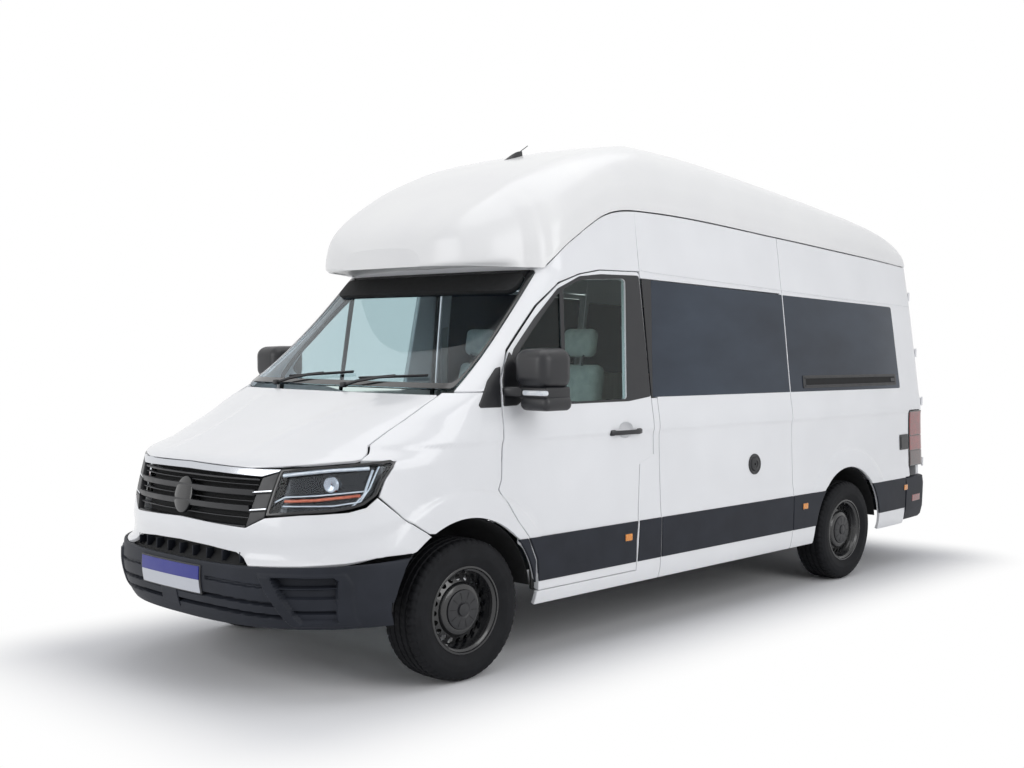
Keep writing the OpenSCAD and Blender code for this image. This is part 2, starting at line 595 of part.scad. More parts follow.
// --------------------------------------------------------- under body ---
module floor_pan() {
    color("#2a2c2f") {
        // load floor with its step well, and the cab floor
        difference() {
            union() {
            translate([-925, -560, floor_z - 40]) cube([1850, 3080, 40]);
            translate([-870, 2500, floor_z - 40]) cube([1740, 310, 40]);
            }
            for (s = [-1, 1]) translate([s > 0 ? 610 : -1000, rear_axle_y - 470, 400]) cube([390, 940, 300]);
        }
        translate([-880, -1500, 470]) cube([1760, 930, 40]);
        // long members
        for (s = [-1, 1]) {
            translate([s * 480 - 35, -1900, 400]) cube([70, 4700, 70]);
        }
    }
}
module wheel_housings() {
    color("#1d1e20") {
        for (s = [1, -1]) for (y = [front_axle, rear_axle_y]) {
            r = arch_r - 8;
            xi = y < 0 ? 520 : 610;
            difference() {
                intersection() {
                    arch(y, r, s > 0 ? xi : -965, s > 0 ? 965 : -xi);
                    translate([-1000, y - 600, wheel_z + 62]) cube([2000, 1200, 700]);
                }
                arch(y, r - 6, s > 0 ? xi + 6 : -1000, s > 0 ? 1000 : -xi - 6);
            }
        }
    }
}
module engine_block() {
    color("#55585c") translate([-330, -2420, 420]) cube([660, 520, 560]);
}
module front_subframe() {
    color("#3a3c3f") {
        translate([-470, -2060, 300]) cube([940, 130, 80]);
        for (s = [1, -1]) {
            // lower arm and strut
            hull() {
                translate([s * 440, front_axle, 310]) cylinder(r = 40, h = 30, $fn = 32);
                translate([s * 735, front_axle, 262]) cylinder(r = 30, h = 24, $fn = 32);
            }
        }
    }
}
module rear_axle() {
    color("#3a3c3f") {
        rotate([0, 90, 0]) translate([-wheel_z, rear_axle_y, -640]) cylinder(r = 45, h = 1280, $fn = 32);
        for (s = [1, -1]) translate([s * 560 - 35, rear_axle_y - 640, wheel_z - 75]) cube([70, 1280, 24]);
    }
}
module underfloor_tanks() {
    color("#26282a") translate([-420, -200, 300]) cube([380, 900, 90]);
}
module exhaust() {
    color("#7d7f82") translate([120, -1500, 330]) rotate([-90, 0, 0]) cylinder(r = 32, h = 1300, $fn = 32);
}

// ------------------------------------------------------------ interior ---
module on_column() { translate([430, -1400, 1170]) rotate([-62, 0, 0]) children(); }
column_r = 28;                 // radius of the steering column
module dashboard() {
    color("#2a2c30") difference() {
        hull() {
            translate([-820, -1900, 1180]) cube([1640, 180, 150]);
            translate([-820, -1750, 900]) cube([1640, 150, 300]);
        }
        on_column() translate([0, 0, -400]) cylinder(r = column_r + 2, h = 420, $fn = 24);
    }
}
module steering_wheel() {
    color("#1c1d1f") on_column() {
        rotate_extrude($fn = 48) translate([180, 0]) circle(r = 15, $fn = 20);
        translate([-170, -12, -8]) cube([340, 24, 16]);
        translate([0, 0, -250]) cylinder(r = column_r, h = 250, $fn = 24);
    }
}
module cab_seats() {
    color("#9a9d98") for (s = [1, -1]) {
        translate([s * 430 - 245, -1150, 760]) cube([490, 480, 130]);
        translate([s * 430 - 235, -740, 880]) rotate([-12, 0, 0]) cube([470, 110, 620]);
        translate([s * 430 - 120, -640, 1490]) rotate([-10, 0, 0]) cube([240, 90, 180]);
        translate([s * 430 - 200, -1100, 512]) cube([400, 400, 247]);
    }
}
module furniture() {
    color("#b9b2a6") {
        translate([-880, 200, floor_z]) cube([560, 900, 880]);
        translate([420, 500, floor_z]) cube([440, 700, 1200]);
        translate([-860, 1500, floor_z + 330]) cube([1720, 1250, 40]);
    }
}
module cushions() {
    color("#a3a6a0") translate([-850, 1500, floor_z + 371]) cube([1700, 1240, 110]);
}
module wipers() {
    color(BLACK) for (x = [-560, 60]) nose_wall(seq(x, x + 520, 5), [1478, 1490], -14, -3);
}

// -------------------------------------------------------------- wheels ---
module on_axle(s, y, track) {
    translate([s * track / 2, y, wheel_z]) rotate([0, s * 90, 0]) children();
}
module tyre_form() {
    w = tyre_w / 2;
    rotate_extrude($fn = 60) polygon([[rim_r + 4, -w + 12], [rim_r + 30, -w + 2], [rim_r + 62, -w], [tyre_r - 34, -w + 8],
        [tyre_r - 8, -w + 26], [tyre_r, -w + 50], [tyre_r, w - 50], [tyre_r - 8, w - 26], [tyre_r - 34, w - 8],
        [rim_r + 62, w], [rim_r + 30, w - 2], [rim_r + 4, w - 12]]);
}
module wheel_form() {
    w = tyre_w / 2;
    difference() {
        rotate_extrude($fn = 60) polygon([[33, 28], [100, 28], [100, 44], [150, 30], [rim_r - 22, 10], [rim_r - 14, -w + 18],
            [rim_r, -w + 12], [rim_r + 3, -w + 16], [rim_r + 3, w - 16], [rim_r, w - 12], [rim_r - 5, w - 14],
            [rim_r - 12, 24], [150, 44], [100, 60], [60, 62], [33, 62]]);
        for (i = [0:14]) rotate([0, 0, i * 24]) translate([170, 0, 0]) cylinder(r = 11, h = 70, $fn = 20);
    }
    translate([0, 0, 30]) cylinder(r = 33.01, h = 50, $fn = 40);
}
module tyre_at(s, y, t) { color("#1b1b1c") on_axle(s, y, t) tyre_form(); }
module wheel_at(s, y, t) { color("#15161a") on_axle(s, y, t) wheel_form(); }
module tyre_front_left() { tyre_at(1, front_axle, front_track); }
module tyre_front_right() { tyre_at(-1, front_axle, front_track); }
module tyre_rear_left() { tyre_at(1, rear_axle_y, rear_track); }
module tyre_rear_right() { tyre_at(-1, rear_axle_y, rear_track); }
module wheel_front_left() { wheel_at(1, front_axle, front_track); }
module wheel_front_right() { wheel_at(-1, front_axle, front_track); }
module wheel_rear_left() { wheel_at(1, rear_axle_y, rear_track); }
module wheel_rear_right() { wheel_at(-1, rear_axle_y, rear_track); }

module knuckle(s) {
    color("#4a4c4f") on_axle(s, front_axle, front_track) {
        cylinder(r = 30, h = 22, $fn = 32);
        translate([0, 0, -60]) cylinder(r = 70, h = 60, $fn = 40);
    }
}
module knuckle_left() { knuckle(1); }
module knuckle_right() { knuckle(-1); }

side_panel_left();
side_panel_right();
sliding_door();
high_roof();
cab_frame();
front_wings();
front_panel();
front_bumper();
grille();
headlamps();
windscreen();
side_windows();
side_trims();
floor_pan();
wheel_housings();
engine_block();
front_subframe();
rear_axle();
underfloor_tanks();
exhaust();
rear_bumper();
tail_lamps();
dashboard();
steering_wheel();
cab_seats();
furniture();
cushions();
wipers();
roof_fittings();
hood();
door_left();
door_left_glass();
mirror_left();
door_right();
door_right_glass();
mirror_right();
rear_door_left();
rear_door_left_glass();
rear_door_right();
rear_door_right_glass();
knuckle_left();
knuckle_right();
tyre_front_left();
tyre_front_right();
tyre_rear_left();
tyre_rear_right();
wheel_front_left();
wheel_front_right();
wheel_rear_left();
wheel_rear_right();
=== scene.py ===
# %% [markdown]
# # A high-roof camper van
# This lesson dresses a plain CAD model of a camper van. The CAD model fixes
# every size and every joint; here each panel gets its real curve, its folded
# edge and its finish. All shapes are worked out in millimetres with numpy and
# turned into metres when a mesh is made.

# %% Load the frame
import bpy, json, math
import numpy as np
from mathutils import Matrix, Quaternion, Vector
from mathutils.geometry import delaunay_2d_cdt

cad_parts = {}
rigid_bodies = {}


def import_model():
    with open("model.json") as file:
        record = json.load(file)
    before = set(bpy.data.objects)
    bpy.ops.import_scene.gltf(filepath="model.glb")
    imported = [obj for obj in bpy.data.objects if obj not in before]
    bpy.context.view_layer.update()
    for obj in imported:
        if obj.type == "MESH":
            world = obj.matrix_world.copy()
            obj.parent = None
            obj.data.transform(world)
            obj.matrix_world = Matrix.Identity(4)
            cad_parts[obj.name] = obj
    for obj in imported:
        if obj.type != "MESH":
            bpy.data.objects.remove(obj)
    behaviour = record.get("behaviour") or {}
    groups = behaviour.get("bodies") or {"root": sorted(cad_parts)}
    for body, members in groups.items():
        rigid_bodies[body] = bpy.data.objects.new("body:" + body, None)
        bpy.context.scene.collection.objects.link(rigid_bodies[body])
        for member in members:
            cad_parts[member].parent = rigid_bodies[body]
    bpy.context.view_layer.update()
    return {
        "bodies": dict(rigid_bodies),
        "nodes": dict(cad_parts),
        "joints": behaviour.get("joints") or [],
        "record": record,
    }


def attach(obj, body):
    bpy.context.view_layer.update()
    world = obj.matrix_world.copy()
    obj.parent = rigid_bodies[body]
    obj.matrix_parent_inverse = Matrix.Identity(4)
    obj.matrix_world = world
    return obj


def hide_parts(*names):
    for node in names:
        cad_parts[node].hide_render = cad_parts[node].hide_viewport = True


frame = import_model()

# %% [markdown]
# ## The skin of the body
# A van body is pressed from sheets that all follow one smooth surface. The
# side leans inwards as it rises; the nose turns into the side along a
# rounded plan curve. Both are tables of a distance by height. Straight lines
# between the entries would show as bands in the paint, so a smooth curve
# that never overshoots is run through each table.

# %% Smooth curves through tables
def through(table, v):
    """Value of a table at v: between two entries a cubic whose end slopes are the harmonic mean of
    the neighbouring slopes, or zero where they change sign."""
    x, y = np.array(table, float).T
    h = np.diff(x)
    d = np.diff(y) / h
    same = d[:-1] * d[1:] > 0
    m = np.concatenate([d[:1], np.where(same, 2 * d[:-1] * d[1:] / np.where(same, d[:-1] + d[1:], 1),
                                        0), d[-1:]])
    v = np.clip(np.asarray(v, float), x[0], x[-1])
    i = np.clip(np.searchsorted(x, v, side="right") - 1, 0, len(h) - 1)
    t = (v - x[i]) / h[i]
    return (y[i] * (1 + 2 * t) * (1 - t) ** 2 + h[i] * m[i] * t * (1 - t) ** 2
            + y[i + 1] * t * t * (3 - 2 * t) + h[i] * m[i + 1] * t * t * (t - 1))

def ease(v):
    """Smooth step from 0 to 1 while v goes from 0 to 1: 3v^2 - 2v^3."""
    v = np.clip(v, 0, 1)
    return v * v * (3 - 2 * v)
print("between (1, 1) and (2, 4) the curve passes", float(through([(0, 0), (1, 1), (2, 4)], 1.5)))

# %% [markdown]
# The tables give, for each height, how far the side stands in from the full
# half width, how far the nose stands back and over what length it turns into
# the side. A power says how square that turn is: soft at the bumper, and
# tight at the windscreen pillars.

# %% The skin's tables
body_half = 1020.0
front_y, tail_y = -2993.0, 2905.0
wheel_z, front_axle, rear_axle = 351.0, -1992.0, 1648.0
arch_r = 456.0
side_inset = [(280, 50), (300, 38), (330, 30), (430, 18), (660, 14), (760, 20),
              (1152, 34), (1176, 26), (1350, 50), (2010, 132), (2080, 142), (2440, 190)]
nose_set = [(280, 150), (330, 80), (430, 25), (560, 3), (640, 8), (670, 48),
            (820, 62), (1040, 110), (1090, 128), (1150, 290), (1250, 545), (1340, 775),
            (1410, 935), (2040, 1625), (2060, 1640)]
nose_run = [(280, 820), (660, 900), (1090, 950), (1150, 850), (1250, 700),
            (1340, 540), (1410, 420), (2040, 320), (2440, 300)]
tail_set = [(280, 12), (600, 0), (1180, 12), (2010, 66), (2440, 110)]
power = 2.7
squareness = [(280, 2.7), (1120, 2.7), (1250, 3.2), (1410, 5.2), (2040, 5.2), (2440, 3.6)]

def half_w(z): return body_half - through(side_inset, z)      # half width of the plain side
def nose_y(z): return front_y + through(nose_set, z)          # foremost point of the nose
def run(z): return through(nose_run, z)                       # length over which it turns
def back_y(z): return tail_y - through(tail_set, z)           # plane of the rear doors
def square(z): return through(squareness, z)                  # power of the turning curve
print("the windscreen leans back", round(float(nose_y(2040) - nose_y(1410))), "mm")

# %% [markdown]
# Three soft forms lie on top of the plain side: a raised band round each
# wheel arch, an outward turn of the lower wall, and the roll of the rear
# corner.

# %% Side and nose surfaces
low_crease = [(-1500, 668), (-1356, 680), (-696, 694), (872, 745), (1188, 761), (2100, 752),
              (2700, 760)]

def forms(y, z):
    """Width added to the side: 14 inside a circle of 600 round each wheel, and 5 under the low
    crease."""
    flare = 0
    for yc in (front_axle, rear_axle):
        r = np.hypot(y - yc, z - wheel_z)
        flare = np.maximum(flare, 14 * ease((600 - r) / 26) - 6 * ease((arch_r + 40 - r) / 30))
    lower = 5 * ease((through(low_crease, y) - z) / 55)
    return np.maximum(flare * ease((z - 640) / 60),
                      lower) * ease((z - 300) / 60) * ease((y + 2600) / 200)

def corner(y, z):
    """Width lost to the rear corner: a quarter circle of radius 75."""
    t = np.clip((y - (back_y(z) - 75)) / 75, 0, 1)
    return 75 * (1 - np.sqrt(np.maximum(1 - t * t, 0)))

def skin_x(y, z):
    """Half width at length y and height z: a super-ellipse of power p(z) from the nose back, then
    straight, drawn in towards the tail."""
    p = square(z)
    s = np.clip((y - nose_y(z)) / run(z), 0, 1)
    draw = np.where(y > 2000, 30 * ((y - 2000) / 700) ** 2, 0)
    return half_w(z) * (1 - (1 - s) ** p) ** (1 / p) - draw - corner(y, z) + forms(y, z)

def side(y, z):
    """Point of the left side wall at length y and height z."""
    return np.stack([skin_x(y, z), y, z + 0 * y], -1)

angles = np.linspace(0, math.pi / 2, 1441)
plan_x, plan_y = 950 * np.sin(angles) ** (2 / power), 930 * (1 - np.maximum(np.cos(angles),
        0) ** (2 / power))
arc = np.concatenate([[0], np.cumsum(np.hypot(np.diff(plan_x), np.diff(plan_y)))])
arc_end = arc[-1]

def nose(u, z):
    """Point of the skin u millimetres round the plan curve from the centre line: first the
    super-ellipse of the nose, then straight back."""
    a = np.interp(np.abs(u), arc, angles)
    past = np.maximum(np.abs(u) - arc_end, 0)
    p = square(z)
    y = nose_y(z) + run(z) * (1 - np.maximum(np.cos(a), 0) ** (2 / p)) + past
    x = half_w(z) * np.sin(a) ** (2 / p) + forms(y, z)
    return np.stack([np.sign(u) * x, y, z + 0 * u], -1)

def round_x(x, z):
    """Plan-curve length u of the point of the nose at half width x."""
    s = np.clip(np.abs(x) / half_w(z), 0, 1)
    return np.sign(x) * np.interp(np.arcsin(s ** (square(z) / 2)), angles, arc)

def round_y(y, z):
    """Plan-curve length u of the point of the left side at length y."""
    c = np.clip(1 - (y - nose_y(z)) / run(z), 0, 1)
    return np.interp(np.arccos(c ** (square(z) / 2)), angles,
                     arc) + np.maximum(y - nose_y(z) - run(z), 0)

def front(x, z):
    """Point of the nose at half width x and height z."""
    s = np.clip(np.abs(x) / half_w(z), 0, 1)
    p = square(z)
    y = nose_y(z) + run(z) * (1 - (1 - s ** p) ** (1 / p))
    return np.stack([x, y, z + 0 * x], -1)

def tail(x, z):
    """Point of the rear doors: the leaning tail, a little crowned across."""
    return np.stack([x, back_y(z) - 14 * (x / 900) ** 2, z + 0 * x], -1)
print("half width at the belt", round(float(half_w(1180.0))), "mm")

# %% [markdown]
# ## From surfaces to sheet metal
# A pressed panel is an outline cut from that surface, with its edge folded
# inwards. The outline is filled with a regular grid of points, the points
# are joined into triangles, and rows that follow a quarter circle turn the
# rim over. The same points pushed inwards close the back.

# %% Outlines
def resample(loop, step):
    """Loop with points added so that no side is longer than step."""
    a = np.array(loop, float)
    b = np.roll(a, -1, 0)
    k = np.maximum(np.ceil(np.hypot(*(b - a).T) / step).astype(int), 1)
    i = np.repeat(np.arange(len(a)), k)
    t = (np.arange(k.sum()) - np.repeat(np.cumsum(k) - k, k)) / k[i]
    return a[i] + (b - a)[i] * t[:, None]

def turning(loop):
    """Twice the area inside a loop, positive if it runs anticlockwise."""
    n = np.roll(loop, -1, 0)
    return float(np.sum(loop[:, 0] * n[:, 1] - n[:, 0] * loop[:, 1]))

def outward(loop):
    """Mitred outward direction at each point of an anticlockwise loop."""
    a, b = loop - np.roll(loop, 1, 0), np.roll(loop, -1, 0) - loop
    a, b = (np.stack([v[:, 1], -v[:, 0]], -1) / np.maximum(np.hypot(*v.T), 1e-9)[:, None]
            for v in (a, b))
    m = a + b
    m /= np.maximum(np.hypot(*m.T), 1e-9)[:, None]
    return m / np.maximum(np.sum(m * a, -1), 0.5)[:, None]

def inside(points, loop):
    """True for each point inside the loop, by counting crossings."""
    a, b = loop, np.roll(loop, -1, 0)
    px, py = points[:, 0:1], points[:, 1:2]
    over = (a[:, 1] > py) != (b[:, 1] > py)
    at = a[:, 0] + (py - a[:, 1]) * (b[:, 0] - a[:, 0]) / np.where(b[:, 1] == a[:, 1], 1,
            b[:, 1] - a[:, 1])
    return np.sum(over & (px < at), 1) % 2 == 1

def rounded(loop, r, n=5):
    """Loop whose corners are cut back by r (one number or one each) and replaced by a quadratic
    curve of n points."""
    p = np.array(loop, float)
    r = np.broadcast_to(np.array(r, float), len(p))
    a, b = np.roll(p, 1, 0) - p, np.roll(p, -1, 0) - p
    la, lb = np.hypot(*a.T), np.hypot(*b.T)
    k = np.minimum(r, 0.48 * np.minimum(la, lb))
    a, b = p + a / la[:, None] * k[:, None], p + b / lb[:, None] * k[:, None]
    t = np.linspace(0, 1, n)[None, :, None]
    return ((1 - t) ** 2 * a[:, None] + 2 * t * (1 - t) * p[:, None] + t * t * b[:, None]).reshape(-1,
            2)
print("a square of 4 points, resampled:", len(resample([(0, 0), (1, 0), (1, 1), (0, 1)], 0.25)),
      "points")

# %% [markdown]
# One maker covers every pressed panel. It works on flat outlines in the two
# skin coordinates and only then asks the surface where each point lies, so
# that neighbouring panels follow the same curve across their gap.

# %% Panels
def facing(surface, uv):
    """Unit normal of a surface: the cross product of its two slopes."""
    u, v = uv.T
    du = surface(u + 0.5, v) - surface(u - 0.5, v)
    dv = surface(u, v + 0.5) - surface(u, v - 0.5)
    n = np.cross(du, dv)
    return n / np.maximum(np.linalg.norm(n, axis=1), 1e-9)[:, None]

def at_depth(surface, uv, depth):
    """Points of a surface moved inwards along its normal by a depth."""
    return surface(uv[:, 0], uv[:, 1]) - facing(surface, uv) * depth

def detail_points(surface):
    """Extra grid points for the sides: rows beside the belt crease and rings along the edge of each
    arch band."""
    a = np.linspace(0.15, math.pi - 0.15, 72)
    rings = [np.stack([yc + r * np.cos(a), wheel_z + r * np.sin(a)], -1)
             for yc in (front_axle, rear_axle) for r in (572, 582, 591, 602)]
    y = np.arange(-2500, 2890, 26.0)
    rows = [np.stack([y, 0 * y + z], -1) for z in (1154, 1160, 1166, 1172, 1178, 1184)]
    p = np.concatenate(rings + rows)
    if surface is side:
        return p
    if surface is nose:
        q = np.stack([round_y(p[:, 0], p[:, 1]), p[:, 1]], -1)
        return np.concatenate([q, q * (-1, 1)])
    return np.zeros((0, 2))

def panel(outline, surface, depth=22.0, holes=(), rim=3.0, step=26.0, proud=0.0):
    """Closed sheet: top at depth -proud, a rim that turns over on a quarter circle of radius rim,
    and a back at the given depth."""
    loops = []
    for k, loop in enumerate([outline, *holes]):
        loop = np.array(loop, float)
        if (turning(loop) > 0) != (k == 0):
            loop = loop[::-1]
        loops.append(resample(loop, step * 0.7))
    rims = [outward(loop) for loop in loops]
    edge = [loop - n * rim for loop, n in zip(loops, rims)]
    guard = [loop - n * (rim + 5) for loop, n in zip(loops, rims)]
    keep = [loop - n * (rim + 5 + step * 0.35) for loop, n in zip(loops, rims)]
    lo, hi = loops[0].min(0), loops[0].max(0)
    count = np.maximum(((hi - lo) / step).astype(int), 1)
    grid = np.stack(np.meshgrid(*[np.linspace(lo[i], hi[i], count[i] + 1) for i in (0, 1)]),
                    -1).reshape(-1, 2)
    grid = np.concatenate([grid, detail_points(surface)])
    grid = grid[inside(grid, keep[0])]
    for loop in keep[1:]:
        grid = grid[~inside(grid, loop)]
    sets = edge + guard
    starts = np.cumsum([0] + [len(s) for s in sets])
    edges = [(int(s + i), int(s + (i + 1) % len(loop))) for s, loop in zip(starts, sets)
             for i in range(len(loop))]
    uv = np.concatenate(sets + [grid])
    made, _, tris, ids, _, _ = delaunay_2d_cdt([Vector(p) for p in uv.tolist()], edges, [], 0, 1e-4)
    new = np.array([tuple(p) for p in made])
    tris = np.array([t for t in tris if len(t) == 3])
    where = np.zeros(len(uv), int)
    for i, olds in enumerate(ids):
        where[olds] = i
    mid = new[tris].mean(1)
    good = inside(mid, edge[0])
    for loop in edge[1:]:
        good &= ~inside(mid, loop)
    tris = tris[good]
    n = len(new)
    parts = [at_depth(surface, new, -proud), at_depth(surface, new, depth)]
    faces = tris.tolist() + (tris[:, ::-1] + n).tolist()
    base = 2 * n
    for k, (loop, out) in enumerate(zip(loops, rims)):
        m = len(loop)
        rows = [where[starts[k]:starts[k] + m]]
        for angle in (30, 60, 90):
            a = math.radians(angle)
            ring = loop - out * rim * (1 - math.sin(a))
            parts.append(at_depth(surface, ring, rim * (1 - math.cos(a)) - proud))
            rows.append(base + np.arange(m))
            base += m
        parts.append(at_depth(surface, loop, depth - 1))
        rows += [base + np.arange(m), n + rows[0]]
        base += m
        for a, b in zip(rows[:-1], rows[1:]):
            faces += np.stack([a, b, np.roll(b, -1), np.roll(a, -1)], -1).tolist()
    return np.concatenate(parts), faces
print("a 200 mm panel has", len(panel([(0, 700), (200, 700), (200, 900), (0, 900)], side)[1]), "faces")

# %% [markdown]
# Most other pieces are grids too: a sweep of a section along a path, a
# turned profile, or a stack of loops. Four small makers cover them.

# %% Grids, lofts and turned shapes
def grid_faces(m, n, wrap_m=False, wrap_n=False):
    """Quads between the rows of an m by n grid of points; they face along (column step) x (row
    step)."""
    i = np.arange(m if wrap_m else m - 1)[:, None]
    j = np.arange(n if wrap_n else n - 1)[None, :]
    i2, j2 = (i + 1) % m, (j + 1) % n
    return np.stack(np.broadcast_arrays(i * n + j, i * n + j2, i2 * n + j2, i2 * n + j),
                    -1).reshape(-1, 4).tolist()

def loft(loops, caps=True, ring=False):
    """Closed loops of equal size joined in order; seen against the run they turn anticlockwise. The
    ends are closed by one face each."""
    P = np.asarray(loops, float)
    m, n = P.shape[:2]
    faces = grid_faces(m, n, ring, True)
    if caps and not ring:
        faces += [list(range(n))[::-1], list(range((m - 1) * n, m * n))]
    return P.reshape(-1, 3), faces

def slab(top, back):
    """Closed solid between two grids of the same size; top faces along (column step) x (row step)."""
    m, n = top.shape[:2]
    faces = grid_faces(m, n) + [f[::-1] for f in (np.array(grid_faces(m, n)) + m * n).tolist()]
    rim = np.concatenate([np.arange(n), np.arange(1, m) * n + n - 1,
                          (m - 1) * n + np.arange(n - 2, -1, -1), np.arange(m - 2, 0, -1) * n])
    faces += np.stack([rim, rim + m * n, np.roll(rim, -1) + m * n, np.roll(rim, -1)], -1).tolist()
    return np.concatenate([top.reshape(-1, 3), back.reshape(-1, 3)]), faces

def turned(profile, centre, steps=64, ring=True):
    """Profile of (x, radius) turned round an axis along X through centre. A ring's profile is closed
    and runs anticlockwise with x to the right and the radius up."""
    p = np.array(profile, float)
    a = np.linspace(0, 2 * math.pi, steps, endpoint=False)[:, None]
    P = np.stack([centre[0] + p[:, 0] + 0 * a, centre[1] + p[:, 1] * np.sin(a),
                  centre[2] + p[:, 1] * np.cos(a)], -1)
    return P.reshape(-1, 3), grid_faces(steps, len(p), True, ring)

def sweep(path, section, up=(0, 0, 1), closed=False, caps=True):
    """Section of (side, up) carried along a path: side = tangent x up, and up is made square to the
    tangent."""
    p = np.array(path, float)
    t = (np.roll(p, -1, 0) - np.roll(p, 1, 0)) if closed else np.gradient(p, axis=0)
    t /= np.linalg.norm(t, axis=1)[:, None]
    s = np.cross(t, up)
    s /= np.linalg.norm(s, axis=1)[:, None]
    w = np.cross(s, t)
    q = np.array(section, float)
    P = p[:, None] + s[:, None] * q[None, :, 0:1] + w[:, None] * q[None, :, 1:2]
    return loft(P[:, ::-1], caps, closed)

def circle(r, n=12, squash=1.0):
    """Section of n points on a circle of radius r, flattened across by squash."""
    a = np.linspace(0, 2 * math.pi, n, endpoint=False)
    return np.stack([r * np.cos(a), r * squash * np.sin(a)], -1)

def block(lo, hi, r=6.0, n=4):
    """Box with all edges rounded by r: a stack of rounded rectangles whose inset follows a quarter
    circle at both ends."""
    lo, hi = np.array(lo, float), np.array(hi, float)
    r = min(r, 0.49 * float(np.min(hi - lo)))
    a = np.linspace(0, math.pi / 2, n)
    fan = np.concatenate([a, a + math.pi / 2, a + math.pi, a + 1.5 * math.pi])
    sx = np.repeat([1, 0, 0, 1], n)
    sy = np.repeat([1, 1, 0, 0], n)
    z = np.concatenate([lo[2] + r * (1 - np.sin(a[::-1])), hi[2] - r * (1 - np.sin(a))])
    inset = np.concatenate([r * (1 - np.cos(a[::-1])), r * (1 - np.cos(a))])
    rr = np.maximum(r - inset, 0.02)[:, None]
    x = np.where(sx, hi[0] - r, lo[0] + r)[None] + rr * np.cos(fan)[None]
    y = np.where(sy, hi[1] - r, lo[1] + r)[None] + rr * np.sin(fan)[None]
    return loft(np.stack([x, y, z[:, None] + 0 * x], -1))

def moved(shape, offset=(0, 0, 0), turn=0.0, axis=0, about=(0, 0, 0)):
    """Shape turned by an angle in degrees round X, Y or Z through a point, then moved."""
    V = np.array(shape[0], float) - about
    c, s = math.cos(math.radians(turn)), math.sin(math.radians(turn))
    i, j = [(1, 2), (2, 0), (0, 1)][axis]
    W = V.copy()
    W[:, i], W[:, j] = c * V[:, i] - s * V[:, j], s * V[:, i] + c * V[:, j]
    return W + about + offset, shape[1]

def mirrored(shape):
    """The same shape on the other side, with its faces turned to point outwards again."""
    return shape[0] * (-1, 1, 1), [f[::-1] for f in shape[1]]

def together(*shapes):
    """Several shapes as one list of points and faces."""
    starts = np.cumsum([0] + [len(s[0]) for s in shapes])
    return np.concatenate([s[0] for s in shapes]), [[i + int(k) for i in f] for k,
                                                    s in zip(starts, shapes) for f in s[1]]

def both(shape):
    """The shape and its mirror image as one."""
    return together(shape, mirrored(shape))

def same(shape):
    """The shape as it is, for the left side."""
    return shape

sides = (("left", same), ("right", mirrored))

def piece(name, shape, finish, body="van", sharp=38, stands_for=()):
    """Mesh object in metres at the origin, shaded smooth except over the sharp angle, riding on a
    body."""
    mesh = bpy.data.meshes.new(name)
    mesh.from_pydata((np.asarray(shape[0]) * 0.001).tolist(), [], shape[1])
    mesh.shade_smooth()
    mesh.set_sharp_from_angle(angle=math.radians(sharp))
    mesh.materials.append(finish)
    made = bpy.data.objects.new(name, mesh)
    bpy.context.collection.objects.link(made)
    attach(made, body)
    if stands_for:
        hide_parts(*stands_for)
    return made

print("a box with rounded edges has", len(block((0, 0, 0), (10, 10, 10))[1]), "faces")

# %% [markdown]
# ## Finishes
# Colours are written as sRGB hex values, as a paint chip would be read off a
# screen, and one function turns them into the linear values that the
# renderer mixes. One small function adds a node and fills in its sockets.

# %% Colour and node helpers
def linear(code):
    """Linear RGBA of an sRGB hex colour: the standard curve, with its straight foot below 0.04045."""
    c = np.array([int(code[i:i + 2], 16) / 255 for i in (1, 3, 5)])
    return (*np.where(c <= 0.04045, c / 12.92, ((c + 0.055) / 1.055) ** 2.4).tolist(), 1.0)

def add(tree, kind, sockets=None, **settings):
    """Node of a kind, its settings set and its sockets given a value or linked from another node's
    output."""
    made = tree.nodes.new("ShaderNode" + kind)
    for name, value in settings.items():
        setattr(made, name, value)
    for name, value in (sockets or {}).items():
        if isinstance(value, bpy.types.NodeSocket):
            tree.links.new(value, made.inputs[name])
        else:
            made.inputs[name].default_value = value
    return made

def finish(name, colour, roughness, **sockets):
    """Material with one Principled shader; returns the material, its node tree and that shader."""
    mat = bpy.data.materials.new(name)
    mat.use_nodes = True
    tree = mat.node_tree
    shader = tree.nodes["Principled BSDF"]
    shader.inputs["Base Color"].default_value = linear(colour)
    shader.inputs["Roughness"].default_value = roughness
    for key, value in sockets.items():
        shader.inputs[key.replace("_", " ")].default_value = value
    return mat, tree, shader

def pattern(tree, scale_mm, detail=2.0, stretch=(1, 1, 1)):
    """Noise whose grains are about scale_mm across, fixed to the object's own coordinates."""
    place = add(tree, "TexCoord")
    size = add(tree, "Mapping", {"Vector": place.outputs["Object"],
                                 "Scale": tuple(1000 / scale_mm / s for s in stretch)})
    return add(tree, "TexNoise", {"Vector": size.outputs["Vector"], "Scale": 1.0, "Detail": detail})

def vary(tree, shader, noise, dark, light, socket="Base Color"):
    """Noise spread over two colours or two values and linked to a socket of the shader."""
    if socket == "Base Color":
        ramp = add(tree, "ValToRGB", {"Fac": noise.outputs["Fac"]})
        ramp.color_ramp.elements[0].position, ramp.color_ramp.elements[1].position = 0.3, 0.7
        ramp.color_ramp.elements[0].color, ramp.color_ramp.elements[1].color = linear(dark), linear(light)
        tree.links.new(ramp.outputs["Color"], shader.inputs[socket])
    else:
        span = add(tree, "MapRange", {"Value": noise.outputs["Fac"], "From Min": 0.3, "From Max": 0.7,
                                      "To Min": dark, "To Max": light})
        tree.links.new(span.outputs["Result"], shader.inputs[socket])

